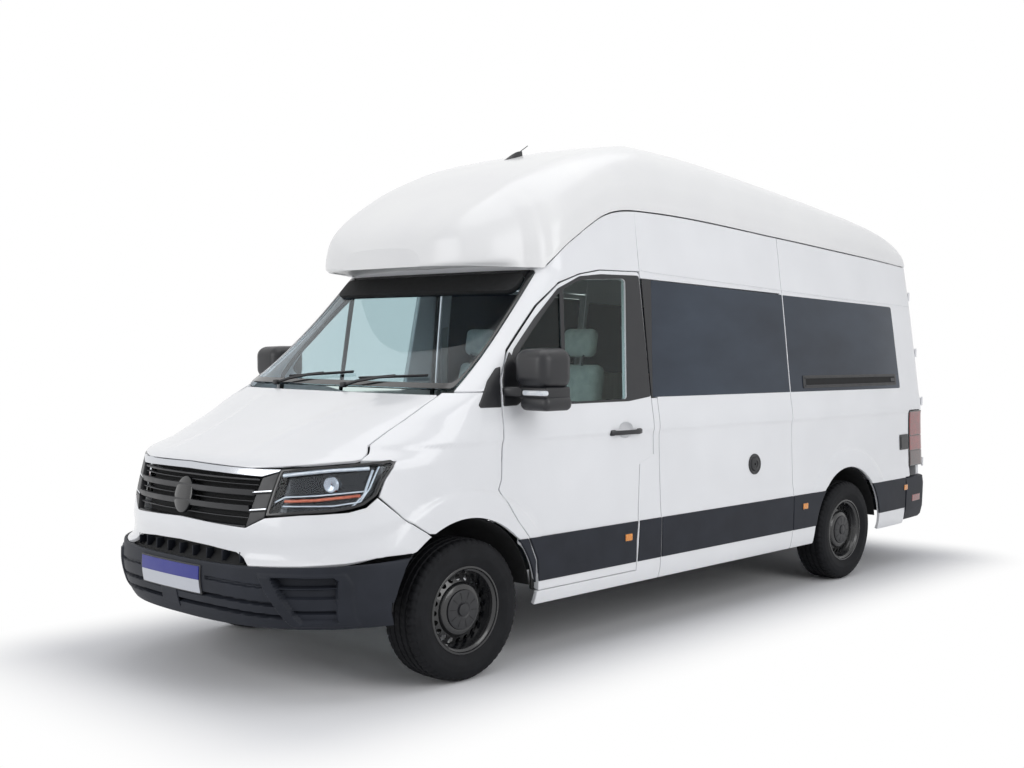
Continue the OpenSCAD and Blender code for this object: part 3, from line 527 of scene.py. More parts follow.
def grain(tree, shader, noise, height_mm, strength=1.0):
    """Bump of a height in millimetres from a noise."""
    bump = add(tree, "Bump", {"Height": noise.outputs["Fac"], "Distance": height_mm / 1000,
                              "Strength": strength})
    tree.links.new(bump.outputs["Normal"], shader.inputs["Normal"])
print("middle grey in linear light:", round(linear("#808080")[0], 3))

# %% [markdown]
# The body is steel in white two-layer paint: an even base under a clear
# gloss coat. The moulded roof is glass-fibre with a white gelcoat, which is
# a touch warmer and less sharp in its shine.

# %% Paint and gelcoat
white_paint, tree, shader = finish("white gloss paint on steel", "#e9eaec", 0.34, Coat_Weight=0.7,
                                   Coat_Roughness=0.06)
vary(tree, shader, pattern(tree, 420), "#e7e8ea", "#ecedef")
vary(tree, shader, pattern(tree, 90), 0.31, 0.37, "Roughness")
gelcoat, tree, shader = finish("white gelcoat on glass fibre", "#ecebea", 0.36, Coat_Weight=0.4,
                               Coat_Roughness=0.12)
vary(tree, shader, pattern(tree, 520), "#e9e9e9", "#eeeeed")
grain(tree, shader, pattern(tree, 60), 0.05, 0.4)
print("finishes", len(bpy.data.materials))

# %% [markdown]
# The bumpers and the side bands are moulded in a charcoal plastic with a
# spark-eroded grain of about 0.6 mm; drawn at 2.5 mm it still shows. The
# mirrors, handles and grille are a blacker satin plastic; the liners are
# plain black.

# %% Plastics and rubber
charcoal, tree, shader = finish("grained charcoal plastic", "#23262d", 0.55, Specular_IOR_Level=0.22)
vary(tree, shader, pattern(tree, 160), "#20232a", "#272a32")
grain(tree, shader, pattern(tree, 2.5), 0.12, 0.6)
satin_black, tree, shader = finish("satin black moulded plastic", "#1b1c20", 0.38)
vary(tree, shader, pattern(tree, 60), 0.34, 0.44, "Roughness")
grain(tree, shader, pattern(tree, 2.0), 0.04, 0.5)
gloss_black, tree, shader = finish("gloss black moulded plastic", "#121316", 0.16, Coat_Weight=0.3)
vary(tree, shader, pattern(tree, 80), 0.13, 0.2, "Roughness")
liner_black, tree, shader = finish("black liner felt and plastic", "#0c0d0f", 0.85)
vary(tree, shader, pattern(tree, 30), "#08090a", "#131417")
rubber, tree, shader = finish("tyre rubber", "#131417", 0.7, Specular_IOR_Level=0.2)
vary(tree, shader, pattern(tree, 70), "#101114", "#18191c")
grain(tree, shader, pattern(tree, 3.0), 0.1, 0.5)
seal, tree, shader = finish("black door seal rubber", "#0e0f11", 0.6)
vary(tree, shader, pattern(tree, 40), 0.55, 0.68, "Roughness")
print("finishes", len(bpy.data.materials))

# %% [markdown]
# Metals: the wheels are pressed steel in black enamel, the strip over the
# grille and the lamp projectors are satin chrome, and the parts below the
# floor are dark coated steel.

# %% Metals
wheel_enamel, tree, shader = finish("black enamel on steel", "#101114", 0.24, Coat_Weight=0.5,
                                    Coat_Roughness=0.1)
vary(tree, shader, pattern(tree, 50), 0.2, 0.3, "Roughness")
chrome, tree, shader = finish("satin chrome plate", "#c9ccd2", 0.2, Metallic=1.0)
vary(tree, shader, pattern(tree, 40), 0.17, 0.24, "Roughness")
steel_dark, tree, shader = finish("coated chassis steel", "#26282b", 0.6)
vary(tree, shader, pattern(tree, 45), "#1d1f21", "#323436")
cast_iron, tree, shader = finish("oiled cast iron", "#2b2c2d", 0.65, Metallic=0.5)
vary(tree, shader, pattern(tree, 25), "#232425", "#3a3b3b")
pipe_steel, tree, shader = finish("stainless exhaust tube", "#77736c", 0.42, Metallic=1.0)
vary(tree, shader, pattern(tree, 60), "#67625b", "#8a8780")
print("finishes", len(bpy.data.materials))

# %% [markdown]
# Glass has to let lamps through, or the cab behind it stays black, so each
# pane mixes in a Transparent shader for shadow rays. The panes behind the
# doors are dark privacy glass that hides what is inside; the soft lighter
# blotches in their colour are a painted reflection of a cloudy sky.

# %% Glass
def pane(name, colour, through_glass, ior=1.45):
    """Clear or tinted glass: a Principled shader with full transmission, and Transparent for the
    rays that look for lamps."""
    mat, tree, shader = finish(name, colour, 0.02, Transmission_Weight=1.0, IOR=ior)
    path = add(tree, "LightPath")
    see = add(tree, "BsdfTransparent", {"Color": linear(through_glass)})
    mix = add(tree, "MixShader", {0: path.outputs["Is Shadow Ray"], 1: shader.outputs[0],
                                  2: see.outputs[0]})
    tree.links.new(mix.outputs[0], tree.nodes["Material Output"].inputs["Surface"])
    return mat

screen_glass = pane("laminated windscreen glass", "#d2e1ea", "#b4c6d2", 1.24)
door_pane = pane("green tinted door glass", "#d3e3e0", "#a9bbbd", 1.24)
lamp_lens = pane("clear polycarbonate lens", "#e6ebf0", "#eef2f6", 1.2)
privacy_glass_painted_reflection, tree, shader = finish("dark privacy glass", "#222b38", 0.06, Specular_IOR_Level=0.3)
# painted reflection: broad stretched noise lightens the dark glass colour in soft blotches, standing in
# for a cloudy sky mirrored in it
vary(tree, shader, pattern(tree, 700, 5.0, (1, 1.6, 0.7)), "#1e2734", "#36414f")
print("finishes", len(bpy.data.materials))

# %% [markdown]
# ## Side panels
# Each side is three pressings: a narrow one behind the front door, a long
# one that on the right is the sliding door, and the rear quarter with the
# wheel arch. The windows are bonded over their openings, so the glass is
# larger than the hole.

# %% Outlines of the side
seam = [(-1283, 2072), (-1251, 2110), (-1174, 2178), (-1082, 2236), (-968, 2304), (-851, 2365),
        (-755, 2397),
        (-658, 2414), (-561, 2421), (-325, 2424), (940, 2375), (1700, 2337), (2500, 2297), (2900, 2277)]

def seam_z(y):
    """Height of the joint between the steel side and the moulded roof."""
    return through(seam, y)

def along_seam(y0, y1, drop, n=24):
    """Outline points that follow the roof joint from y0 to y1, drop below it."""
    y = np.linspace(y0, y1, n)
    return list(zip(y, seam_z(y) - drop))

def arc_points(yc, r, t):
    """Outline points on a circle of radius r round a wheel's centre, at angles t from the rear."""
    return list(zip(yc + r * np.cos(t), wheel_z + r * np.sin(t)))

def wheel_arch(yc, r, z0, n=30):
    """Outline points over a wheel opening from front to back, starting and ending at height z0."""
    dip = math.asin((wheel_z - z0) / r)
    return arc_points(yc, r, np.linspace(math.pi + dip, -dip, n))

door_line = [(-1515, 384), (-728, 384), (-728, 555), (-686, 983), (-563, 1026), (-563, 1359),
             (-576, 2058),
             (-592, 2070), (-910, 2062), (-1078, 2032), (-1244, 1977), (-1414, 1855), (-1651, 1621),
             (-1735, 1472), (-1742, 1298), (-1761, 975), (-1783, 927), (-1667, 760), (-1580, 658),
             (-1527, 543)]
sill_z, belt_z = 308, 1353
pillar_panel = [(-1531, sill_z), (-508, sill_z), (-508, belt_z), (-557, belt_z), (-557, 1031),
                (-680, 988),
                (-722, 556), (-722, 379), (-1524, 379)]
middle_panel = [(-503, sill_z), (903, sill_z), (903, 2374)] + along_seam(900, -566, 3)[1:] + [
    (-566, 2036), (880, 2007), (880, 1366), (-503, 1366)]
rear_edge = [(y - 4, z) for y, z in zip(back_y(np.array([2270.0, 1900, 1500, 1180])) - 8,
                                        (2270, 1900, 1500, 1180))]
rear_quarter = [(909, sill_z)] + wheel_arch(rear_axle, arch_r, sill_z) + [
    (2530, sill_z), (2524, 668), (2600, 668), (2600, 1180)] + rear_edge[::-1] + along_seam(2820, 909, 3)
rear_hole = rounded([(940, 1372), (2445, 1372), (2452, 1420), (2402, 1942), (2380, 1948),
                     (940, 1982)], 30)
print("the roof joint is", round(float(seam_z(2900.0))), "mm up at the tail")

# %% Side panels
for name, sign in (("left", 1), ("right", -1)):
    flip = same if sign > 0 else mirrored
    parts = [panel(rounded(pillar_panel, 4), side),
             panel(rounded(rear_quarter, [4] * len(rear_quarter)), side, holes=[rear_hole])]
    if sign > 0:
        parts.append(panel(rounded(middle_panel, 4), side))
    else:
        parts.append(panel([(-503, sill_z), (903, sill_z), (903, 397), (-503, 397)], side))
        parts.append(panel([(-566, 2042), (903, 2042)] + along_seam(903, -566, 3), side))
        sliding = panel(rounded([(-502, 403), (902, 403), (902, 2036), (-502, 2036)], 14), side,
                        holes=[rounded([(-430, 1366), (862, 1366), (862, 2004), (-430, 2016)], 30)])
        piece("sliding_door_skin", flip(sliding), white_paint, stands_for=["sliding_door"])
    piece("side_%s_skin" % name, flip(together(*parts)), white_paint, stands_for=["side_panel_" + name])

# %% [markdown]
# ## Cab frame
# The pillars beside the windscreen, the header over it and the rail over the
# front door are one pressing. Its outline is laid out round the plan curve,
# so the piece can turn from the front into the side without a joint.

# %% Windscreen frame and door rails
screen_edge = [(1400, 875), (1776, 813), (2050, 787)]
def dense(points, step=45.0):
    """Rows of an open outline with points added so that none is more than a step from the next."""
    p = np.array(points, float)
    rows = [a + (b - a) * t for a, b in zip(p[:-1], p[1:])
            for t in np.linspace(0, 1, int(np.hypot(*(b - a)) // step) + 1, endpoint=False)]
    return np.array(rows + [p[-1]]).T

def round_points(points):
    """Outline points given as (length y, height z) turned into (plan-curve length, height)."""
    y, z = dense(points)
    return list(zip(round_y(y, z), z))

z = np.linspace(1418, 2030, 9)
screen_side = list(zip(round_x(through(screen_edge, z) + 3, z), z))
door_side = round_points([(-1743, 1418), (-1743, 1472), (-1659, 1626), (-1421, 1861), (-1251, 1983),
                          (-1080, 2038), (-910, 2068), (-570, 2076)])
rail_top = round_points(along_seam(-566, seam[0][0], 4, 30))
half = door_side + rail_top
top = float(round_x(np.array([803.0]), np.array([2074.0]))[0])
frame_outline = ([(u, z) for u, z in half] + [(top, 2074), (0, 2076), (-top, 2074)]
                 + [(-u, z) for u, z in half[::-1]]
                 + [(-u, z) for u, z in screen_side]
                 + [(-screen_side[-1][0] + 40, 2046), (0, 2049), (screen_side[-1][0] - 40, 2046)]
                 + screen_side[::-1])
piece("cab_frame_skin", panel(frame_outline, nose, 26), white_paint, stands_for=["cab_frame"])

# %% [markdown]
# ## Front doors
# A door skin is pressed in one piece with its window frame. The frame is
# painted black, so it is a second, thin sheet laid over the upper part.

# %% Front door skins
window_line = [(-792, 1353), (-1240, 1350), (-1590, 1438), (-1663, 1498), (-1588, 1617), (-1427, 1773),
               (-1253, 1933), (-1083, 2004), (-724, 2026), (-703, 2016), (-778, 1362)]
door_hole = rounded(window_line, [10, 60, 60, 26, 60, 60, 60, 60, 14, 10, 10])
frame_out = rounded([(-566, 1362), (-760, 1340), (-1240, 1338), (-1560, 1400), (-1672, 1452),
                     (-1700, 1498), (-1620, 1626), (-1454, 1787),
                     (-1266, 1948), (-1086, 2022), (-910, 2042), (-594, 2050), (-581, 2044)], 10)
divider = [(-1247, 1980), (-1216, 1981), (-1268, 1352), (-1292, 1352)]
def bowl_line(r):
    """Ellipse of the finger dish behind the handle, scaled by r."""
    a = np.linspace(0, 2 * math.pi, 40, endpoint=False)
    return np.stack([-811 + 62 * r * np.cos(a), 1182 + 44 * r * np.sin(a)], -1)

for name, flip in sides:
    skin = panel(rounded(door_line, 6), side, 34, holes=[door_hole, bowl_line(1.0)])
    dish = loft(np.array([at_depth(side, bowl_line(r), deep) for r,
                          deep in ((1.04, 30), (1.04, 6), (0.99, 3), (0.9, 16), (0.66, 25), (0.3, 29),
                                   (0.02, 30))])[::-1])
    piece("front_door_%s_dish" % name, flip(dish), white_paint, "front_door_" + name, 60)
    piece("front_door_%s_skin" % name, flip(skin), white_paint, "front_door_" + name,
          stands_for=["door_" + name])
    cover = panel(frame_out, side, 1.0, holes=[door_hole], rim=1.0, proud=1.6)
    post = panel(divider, side, 14, rim=1.0, proud=-3)
    piece("front_door_%s_frame" % name, flip(together(cover, post)), satin_black, "front_door_" + name)
    glass = panel(rounded(window_line, 30), side, 16, rim=1.0, proud=-11.0)
    piece("front_door_%s_pane" % name, flip(glass), door_pane, "front_door_" + name,
          stands_for=["door_%s_glass" % name])
    run_round = at_depth(side, resample(rounded(door_line, 6), 30), 50)
    piece("front_door_%s_seal" % name, flip(sweep(run_round, circle(12, 10), up=(1, 0, 0),
                                                  closed=True)), seal)

# %% [markdown]
# ## Nose
# The bonnet, the wings, the panel with the lamps and grille and the bumper
# all share the nose surface. The bonnet carries two soft creases that run
# back and outwards.

# %% Bonnet, wings and front panel
def bonnet_surface(x, z):
    """Nose with two creases: a ridge 16 high whose distance from the centre line grows with height by a
    power curve, wide inside it and narrow outside."""
    p = front(x, z)
    line = 300 + 0.00115 * np.maximum(z - 1130, 0) ** 2.2
    d = np.abs(x) - line
    lift = 16 * ease((z - 1085) / 60) * ease((1395 - z) / 60) * np.where(d < 0, ease(1 + d / 130),
            ease(1 - d / 46))
    p[..., 1] -= lift
    return p

hood_line = [(0, 1082), (250, 1078), (450, 1073), (592, 1084), (700, 1096), (785, 1107), (832, 1112),
             (840, 1120),
             (829, 1139), (799, 1176), (802, 1241), (819, 1322), (821, 1395), (812, 1401), (0, 1400)]
hood_outline = hood_line + [(-x, z) for x, z in hood_line[-2:0:-1]]
piece("bonnet_skin", panel(hood_outline, bonnet_surface, 16, step=20), white_paint, "bonnet",
      stands_for=["hood"])

def at_x(points):
    """Outline points given as (half width, height) turned into (plan-curve length, height)."""
    x, z = dense(points)
    return list(zip(round_x(x, z), z))

wing_hood = at_x([(846, 1112), (836, 1139), (806, 1176), (809, 1241), (827, 1322), (827, 1411)])
over = arc_points(front_axle, arch_r, np.linspace(math.radians(118), math.radians(12.5), 26))
wing_outline = (round_points([(-2470, 946), (-2362, 838), (-2240, 757)]) + round_points(over)
                + round_points([(-1537, 440), (-1534, 543), (-1588, 660), (-1675, 764), (-1790, 929),
                                (-1768, 977), (-1749, 1298), (-1742, 1456), (-1772, 1413)])
                + wing_hood[::-1])
lamp_back = round_points([(-2374, 1106), (-2436, 1022)])
wing_outline = wing_outline + lamp_back
wing = panel(wing_outline, nose, 20)
piece("wing_skins", both(wing), white_paint, stands_for=["front_wings"])

# %% [markdown]
# The front panel carries the lamps and the grille. Across its lower part a
# pressed step runs from lamp to lamp; it is a small distance, eased in below
# a line, that moves each point in along the surface's own normal.

# %% Front panel
def panel_surface(u, z):
    """Nose with a soft step of 9 under a line that drops from the lamps to the middle."""
    p = nose(u, z)
    crest = through([(0, 765), (600, 769), (900, 786), (1080, 812), (1200, 850), (1340, 915)],
                    np.abs(u))
    step = 9 * ease((crest - z) / 46) * ease((1420 - np.abs(u)) / 160)
    n = facing(nose, np.stack([np.ravel(u), np.ravel(z) + 0 * np.ravel(u)], -1)).reshape(p.shape)
    return p - n * step[..., None]

front_arch_part = arc_points(front_axle, arch_r, np.radians(np.linspace(134, 121, 5)))
half = (at_x([(0, 709), (240, 703), (425, 689), (475, 668), (532, 649), (603, 650), (756, 653),
              (885, 660)])
        + round_points([(-2500, 669), (-2328, 672)] + front_arch_part
                       + [(-2248, 757), (-2367, 836), (-2478, 941)])
        + at_x([(900, 899), (862, 880), (786, 873), (715, 869), (570, 852), (476, 803), (240, 812),
                (0, 820)]))
front_outline = half + [(-u, z) for u, z in half[-2:0:-1]]
piece("front_panel_skin", panel(front_outline, panel_surface, 18, step=22), white_paint,
      stands_for=["front_panel"])

# %% [markdown]
# The bumper is a deep plastic moulding: a smooth upper lip, three long
# grooves across the middle, and a framed pocket at each corner with bars
# and a raised diagonal strake. It is one fine grid whose depth is a function
# of the two skin coordinates.

# %% Bumper
u_end = float(round_y(np.array([-2322.0]), np.array([664.0]))[0])

def channel(z, centre, width, depth, soft=5.0):
    """Groove across z: depth inside the width, with soft walls."""
    return depth * ease((width / 2 + soft - np.abs(z - centre)) / soft)

def strake_u(z):
    """Plan-curve length of the middle of the diagonal strake at height z."""
    return round_x(through([(290, 768), (377, 726), (588, 628), (664, 594)], z), z)

def bumper_depth(u, z):
    """Inset of the bumper: grooves in the middle, a sunk frame with bars at the corner, a proud
    strake, and a tucked lower lip."""
    a = np.abs(u)
    depth = 26 * ease((345 - z) / 60) * ease((1300 - a) / 260)
    middle = ease((strake_u(z) - 26 - a) / 10)
    beside = np.where(z < 500, 1.0, ease((a - 268) / 8))
    for centre, width, deep in ((565, 9, 12), (486, 11, 22), (428, 12, 26)):
        bend = centre - 16 * ease((a - 250) / 420)
        depth = depth + channel(z, bend, width, deep) * middle * beside
    outer = round_x(through([(370, 913), (549, 916), (609, 899)], z), z)
    pocket = round_x(through([(377, 866), (570, 881), (598, 864)], z), z)
    box = (ease((a - strake_u(z) - 30) / 8) * ease((pocket - a) / 10)
           * ease((z - 384) / 6) * ease((594 - z) / 6))
    bars = 1 - np.maximum.reduce([channel(z, 543, 6, 1), channel(z, 467, 54, 1),
                                  channel(z, 404, 34, 1)])
    depth = depth + box * (14 + 34 * bars * np.where(z > 548, 1.0, 0.55))
    frame = ease((a - strake_u(z)
                  + 30) / 10) * ease((outer - a) / 10) * ease((z - 362) / 8) * ease((612 - z) / 8)
    depth = depth - 5 * frame * (1 - box)
    strake = ease((34 - np.abs(a - strake_u(z))) / 12) * ease((604 - z) / 10) * ease((z - 366) / 10)
    return depth - 7 * strake

cols = np.linspace(-u_end, u_end, 361)
rows = np.linspace(0, 1, 74)
top_z = through([(0, 638), (530, 638), (600, 643), (1000, 648), (1500, 662), (1800, 664)], np.abs(cols))
low_z = np.full(cols.shape, 290.0)
for _ in range(4):
    at = nose(cols, low_z)[:, 1]
    low_z = np.maximum(290, wheel_z + np.sqrt(np.maximum(arch_r ** 2 - (at - front_axle) ** 2, 0))
                       * (at > front_axle - arch_r))
low_z = np.minimum(low_z, top_z - 3)
U, T = np.meshgrid(cols, rows)
Z = low_z + (top_z - low_z) * T
flat = np.stack([U.ravel(), Z.ravel()], -1)
out = facing(nose, flat).reshape(*U.shape, 3)
rim = 6 * (1 - np.sqrt(np.clip(1 - ((T - 0.97) / 0.03).clip(0, 1) ** 2, 0, 1)))
skin = nose(U, Z) - out * (bumper_depth(U, Z) + rim)[..., None]
back = nose(U, Z) - out * (np.maximum(bumper_depth(U, Z), 0) + 26)[..., None]
piece("bumper_skin", slab(skin, back), charcoal, stands_for=["front_bumper"])

# %% [markdown]
# ## Grille and lamps
# The grille is a black backing with wide shaped bars and thin blades
# between them, a satin chrome strip along the top, and a dark piece at each
# end with two thin bright tips. The round place in the middle stays a plain
# dark disc.

# %% Grille
def across(half_width, z, inset, n=61):
    """Path across the nose at one height, at an inset from the skin."""
    x = np.linspace(-half_width, half_width, n)
    return at_depth(front, np.stack([x, z + 0 * x], -1), inset)

def bar(half_width, z, height, depth, inset, r=4.0, lean=0.0):
    """Bar across the nose: a rounded rectangle carried along the path; lean sets its top edge back."""
    section = rounded([(-depth / 2, -height / 2), (depth / 2 , -height / 2), (depth / 2 , height / 2),
                       (-depth / 2, height / 2)], r, 4)
    section = section + np.stack([lean * (section[:, 1] / height + 0.5), 0 * section[:, 0]], -1)
    return sweep(across(half_width, z, inset + depth / 2), section)

def grille_half(z):
    """Half width of the grille's opening at height z, wider towards the top."""
    return through([(800, 470), (900, 488), (1070, 515)], z)

backing = panel([(-472, 806), (472, 806), (516, 1066), (-516, 1066)], front, 74, rim=1, proud=-60)
piece("grille_backing", backing, liner_black, stands_for=["grille"])
wide = [bar(float(grille_half(z)) - 4, z, 30, 26, 2, 5, 7) for z in (965, 893)]
thin = [bar(float(grille_half(z)) - 4, z, 5, 22, 12, 2) for z in (1002, 928, 852)]
thin += [bar(float(grille_half(z)) - 3, z, 9, 40, 6, 3) for z in (1027, 811)]
piece("grille_bars", together(*wide), satin_black)
piece("grille_blades", together(*thin), satin_black)

strip = [(0, 1046), (250, 1043), (517, 1036), (596, 1061), (602, 1072), (520, 1070), (250, 1073),
         (0, 1078)]
strip = strip + [(-x, z) for x, z in strip[-2:0:-1]]
piece("grille_strip", panel(rounded(strip, 3), front, 12, rim=3, proud=2, step=18), chrome)
end = [(478, 805), (567, 854), (597, 1058), (521, 1031)]
piece("grille_ends", both(panel(rounded(end, 5), front, 30, rim=3, step=14)), satin_black)
tips = [panel([(487, z0), (570 + k, z0 + 9), (572 + k, z0 + 16), (489, z0 + 7)], front, 6, rim=1.2,
              proud=3, step=12) for z0, k in ((881, 0), (962, 10))]
gaps = [panel([(483, z0 - 9), (569 + k, z0), (570 + k, z0 + 8), (486, z0 - 1)], front, 6, rim=1.0,
              proud=0.6, step=12) for z0, k in ((881, 0), (962, 10))]
piece("grille_tips", both(together(*tips)), chrome)
piece("grille_gaps", both(together(*gaps)), liner_black)

disc = []
for r, inset in ((74, 26), (78, 6), (76, 0), (66, -3), (30, -4.5), (2, -5)):
    a = np.linspace(0, 2 * math.pi, 48, endpoint=False)
    disc.append(at_depth(front, np.stack([r * 0.96 * np.cos(a), 922 + r * np.sin(a) * 1.12], -1),
                         inset))
piece("grille_disc", loft(np.array(disc)), gloss_black)

# %% [markdown]
# Below the strip of paint lies the air intake, a dark slot parted by thin
# uprights, and in the bumper's middle the holder of the number plate. All
# are shallow sheets on the same nose surface.

# %% Intake and plate
intake = panel([(-500, 640), (500, 640), (415, 684), (240, 700), (0, 705), (-240, 700), (-415, 684)],
               front, 70, rim=1, proud=-52)
dividers = [block((x - 3, 0, 640), (x + 3, 40, 690), 1.5) for x in np.arange(-446, 447, 111.5)]
dividers = [(V + (0, float(front(np.array([V[:, 0].mean()]), np.array([665.0]))[0, 1]) + 14, 0), F)
            for V, F in dividers]
piece("intake_backing", intake, liner_black)
piece("intake_dividers", together(*dividers), charcoal)
plate_base = panel(rounded([(-262, 481), (262, 481), (262, 619), (-262, 619)], 6), front, 8, rim=2,
                   proud=6)
piece("plate_holder", plate_base, satin_black)

# %% [markdown]
# The number plate is bare: a blank aluminium sheet under two films, plain
# blue above and plain silver below.

# %% Bare plate
plate_blue, tree, shader = finish("blue printed film on aluminium", "#232a86", 0.35)
vary(tree, shader, pattern(tree, 60), 0.32, 0.42, "Roughness")
plate_silver, tree, shader = finish("white reflective film on aluminium", "#c4c7ce", 0.4)
vary(tree, shader, pattern(tree, 60), 0.36, 0.46, "Roughness")
piece("plate_upper", panel(rounded([(-252, 550), (252, 550), (252, 612), (-252, 612)], 3), front, -4,
                           rim=1, proud=9), plate_blue)
piece("plate_lower", panel(rounded([(-252, 488), (252, 488), (252, 550), (-252, 550)], 3), front, -4,
                           rim=1, proud=9), plate_silver)
tow = panel(rounded([(-104, 392), (38, 392), (46, 484), (-96, 484)], 10), front, 4, rim=3, proud=4)
piece("tow_cover", tow, charcoal)

# %% [markdown]
# A headlamp is a clear lens over a dark bowl. Inside are a projector, two
# bright light guides that frame the lamp, and an amber indicator strip.

# %% Headlamps
lamp_line = at_x([(573, 862), (715, 877), (786, 882), (827, 886), (866, 896),
                  (893, 912)]) + round_points([(-2478, 955), (-2442, 1022), (-2380, 1098),
                                               (-2398, 1112)]) + at_x(
    [(800, 1091), (603, 1071), (596, 1040)])
bowl = panel(rounded(lamp_line, 6), nose, 74, rim=2, proud=-46, step=20)
piece("lamp_bowls", both(bowl), gloss_black, stands_for=["headlamps"])
lens = panel(rounded(lamp_line, 8), nose, 4, rim=2, step=16)
piece("lamp_lenses", both(lens), lamp_lens)

def guide(points, inset, r, squash=0.7, n=50):
    """Tube of radius r inside the lamp along (half width, height) points, at an inset from the skin."""
    p = np.array(points, float)
    d = np.concatenate([[0], np.cumsum(np.hypot(*np.diff(p, axis=0).T))])
    s = np.linspace(0, d[-1], n)
    x, z = np.interp(s, d, p[:, 0]), np.interp(s, d, p[:, 1])
    u = np.where(x > 0, round_x(np.minimum(x, 905), z), 0)
    path = at_depth(nose, np.stack([u, z], -1), inset)
    return sweep(path, circle(r, 10, squash))
lamp_rim = panel(rounded(lamp_line, 6), nose, 10, rim=1.5, proud=1.2, step=20,
                 holes=[rounded(at_x([(588, 874), (715, 888), (786, 893), (825, 897), (862, 906),
                                      (886, 921)])
                                + round_points([(-2486, 962), (-2452, 1025), (-2396, 1094),
                                                (-2408, 1100)])
                                + at_x([(800, 1081), (614, 1062), (607, 1040)]), 6)])
piece("lamp_seals", both(lamp_rim), gloss_black)
light_guide, tree, shader = finish("frosted light guide", "#dfe4ea", 0.25, Coat_Weight=0.4)
vary(tree, shader, pattern(tree, 25), "#d3d9e0", "#eef1f4")
amber_lens, tree, shader = finish("amber polycarbonate", "#c4644a", 0.2, Coat_Weight=0.5)
vary(tree, shader, pattern(tree, 18), "#b5573e", "#d8795a")
guides = [guide([(612, 1046), (793, 1073), (884, 1078)], 14, 11, 0.8),
          guide([(638, 909), (817, 912), (884, 927), (896, 985), (900, 1040), (903, 1085)], 12, 5),
          guide([(600, 926), (641, 950), (760, 958), (886, 974)], 12, 5),
          guide([(868, 905), (888, 960), (893, 1070)], 18, 9, 0.5)]
piece("lamp_guides", both(together(*guides)), light_guide)
marker_amber, tree, shader = finish("orange marker lens", "#e0892a", 0.25, Coat_Weight=0.5)
vary(tree, shader, pattern(tree, 12), "#d67c1e", "#ea9a3c")
piece("lamp_ambers", both(guide([(642, 931), (760, 938), (880, 955)], 14, 11, 0.7)), amber_lens)
V, F = turned([(0, 2), (8, 20), (8, 34), (2, 40), (-20, 42), (-26, 2)], (0, 0, 0), 32, True)
spot = (np.stack([V[:, 1], -V[:, 0], V[:, 2]], -1), F)
spot = moved(spot, turn=24, axis=2)
spot = moved(spot, (770, -2625, 1002))
piece("lamp_projectors", both(spot), chrome)

# %% [markdown]
# ## Moulded high roof
# The roof is one glass-fibre moulding that hangs over the windscreen. It is
# described by cross-sections: for each length a table gives the height of
# the crown, the width and height of the shoulder and the width at the base.
# Both directions are then run through smooth curves.

# %% High roof
stations = np.array([
    (-1722, 2165, 250, 2150, 330), (-1704, 2206, 380, 2190, 455), (-1684, 2240, 440, 2222, 522),
    (-1640, 2292, 505, 2270, 608), (-1560, 2362, 545, 2336, 682), (-1450, 2442, 570, 2412, 735),
    (-1330, 2518, 584, 2486, 768), (-1240, 2570, 594, 2538, 790), (-1090, 2642, 606, 2610, 838),
    (-880, 2726, 620, 2698, 846), (-720, 2776, 632, 2752, 842), (-560, 2820, 644, 2794, 838),
    (-400, 2850, 652, 2818, 838), (0, 2860, 658, 2808, 840), (940, 2806, 658, 2732, 846),
    (1700, 2732, 658, 2658, 850), (2250, 2674, 652, 2598, 842), (2500, 2636, 645, 2556, 830),
    (2700, 2582, 620, 2500, 796), (2790, 2520, 590, 2446, 766), (2850, 2430, 545, 2376, 712)], float)

def station(col, y):
    """One column of the table of cross-sections at length y."""
    return through(list(zip(stations[:, 0], stations[:, col])), y)

lip_z = 2058          # underside of the alcove's lip, over the windscreen
def roof_height(y):
    """Height of the roof's crown at length y."""
    return station(1, y)

def roof_base(y):
    """Height of the roof's lower edge: the lip over the windscreen, then the joint with the side."""
    return np.where(y < seam[0][0], lip_z + 0 * y, seam_z(y) + 4)

def roof_section(y, inset=0.0, n=15):
    """Half section at each length: points from the base over the shoulder to the crown, joined by a
    smooth curve with n points between each two."""
    crown, wide, high, base = (station(k, y) for k in (1, 2, 3, 4))
    join = skin_x(np.clip(y, seam[0][0], 2900), np.clip(seam_z(y), 0, 2440)) + 3
    base = np.where(y > seam[0][0] - 110, base + (join - base) * ease((y - seam[0][0] + 110) / 110),
                    base)
    low = roof_base(y)
    fore = ease((seam[0][0] - 110 - y) / 90)
    points = [(base - 30 * fore, low), (base - 2 + 0 * y, low + 0.12 * (high - low)),
              (base - 0.10 * (base - wide), low + 0.42 * (high - low)),
              (base - 0.42 * (base - wide), low + 0.78 * (high - low)), (wide, high),
              (wide * 0.80, high + 0.50 * (crown - high)),
              (wide * 0.45, high + 0.86 * (crown - high)), (0 * y, crown)]
    C = np.array([[p[0] + 0 * y, p[1] + 0 * y] for p in points])
    C = np.concatenate([2 * C[:1] - C[1:2], C, (C[-2:-1] * np.array([-1, 1])[None, :, None])])
    t = np.linspace(0, 1, n, endpoint=False)[None, :, None, None]
    a, b, c, d = C[:-3, None], C[1:-2, None], C[2:-1, None], C[3:, None]
    P = 0.5 * (2 * b + (c - a) * t + (2 * a - 5 * b + 4 * c - d) * t ** 2 + (3 * b - a - 3 * c + d)
               * t ** 3)
    P = np.concatenate([P.reshape(-1, 2, len(y)), C[-2:-1]])
    half = np.stack([P[:, 0].T, np.repeat(y[:, None], P.shape[0], 1), P[:, 1].T], -1)
    return np.concatenate([half, half[:, -2::-1] * (-1, 1, 1)], 1)

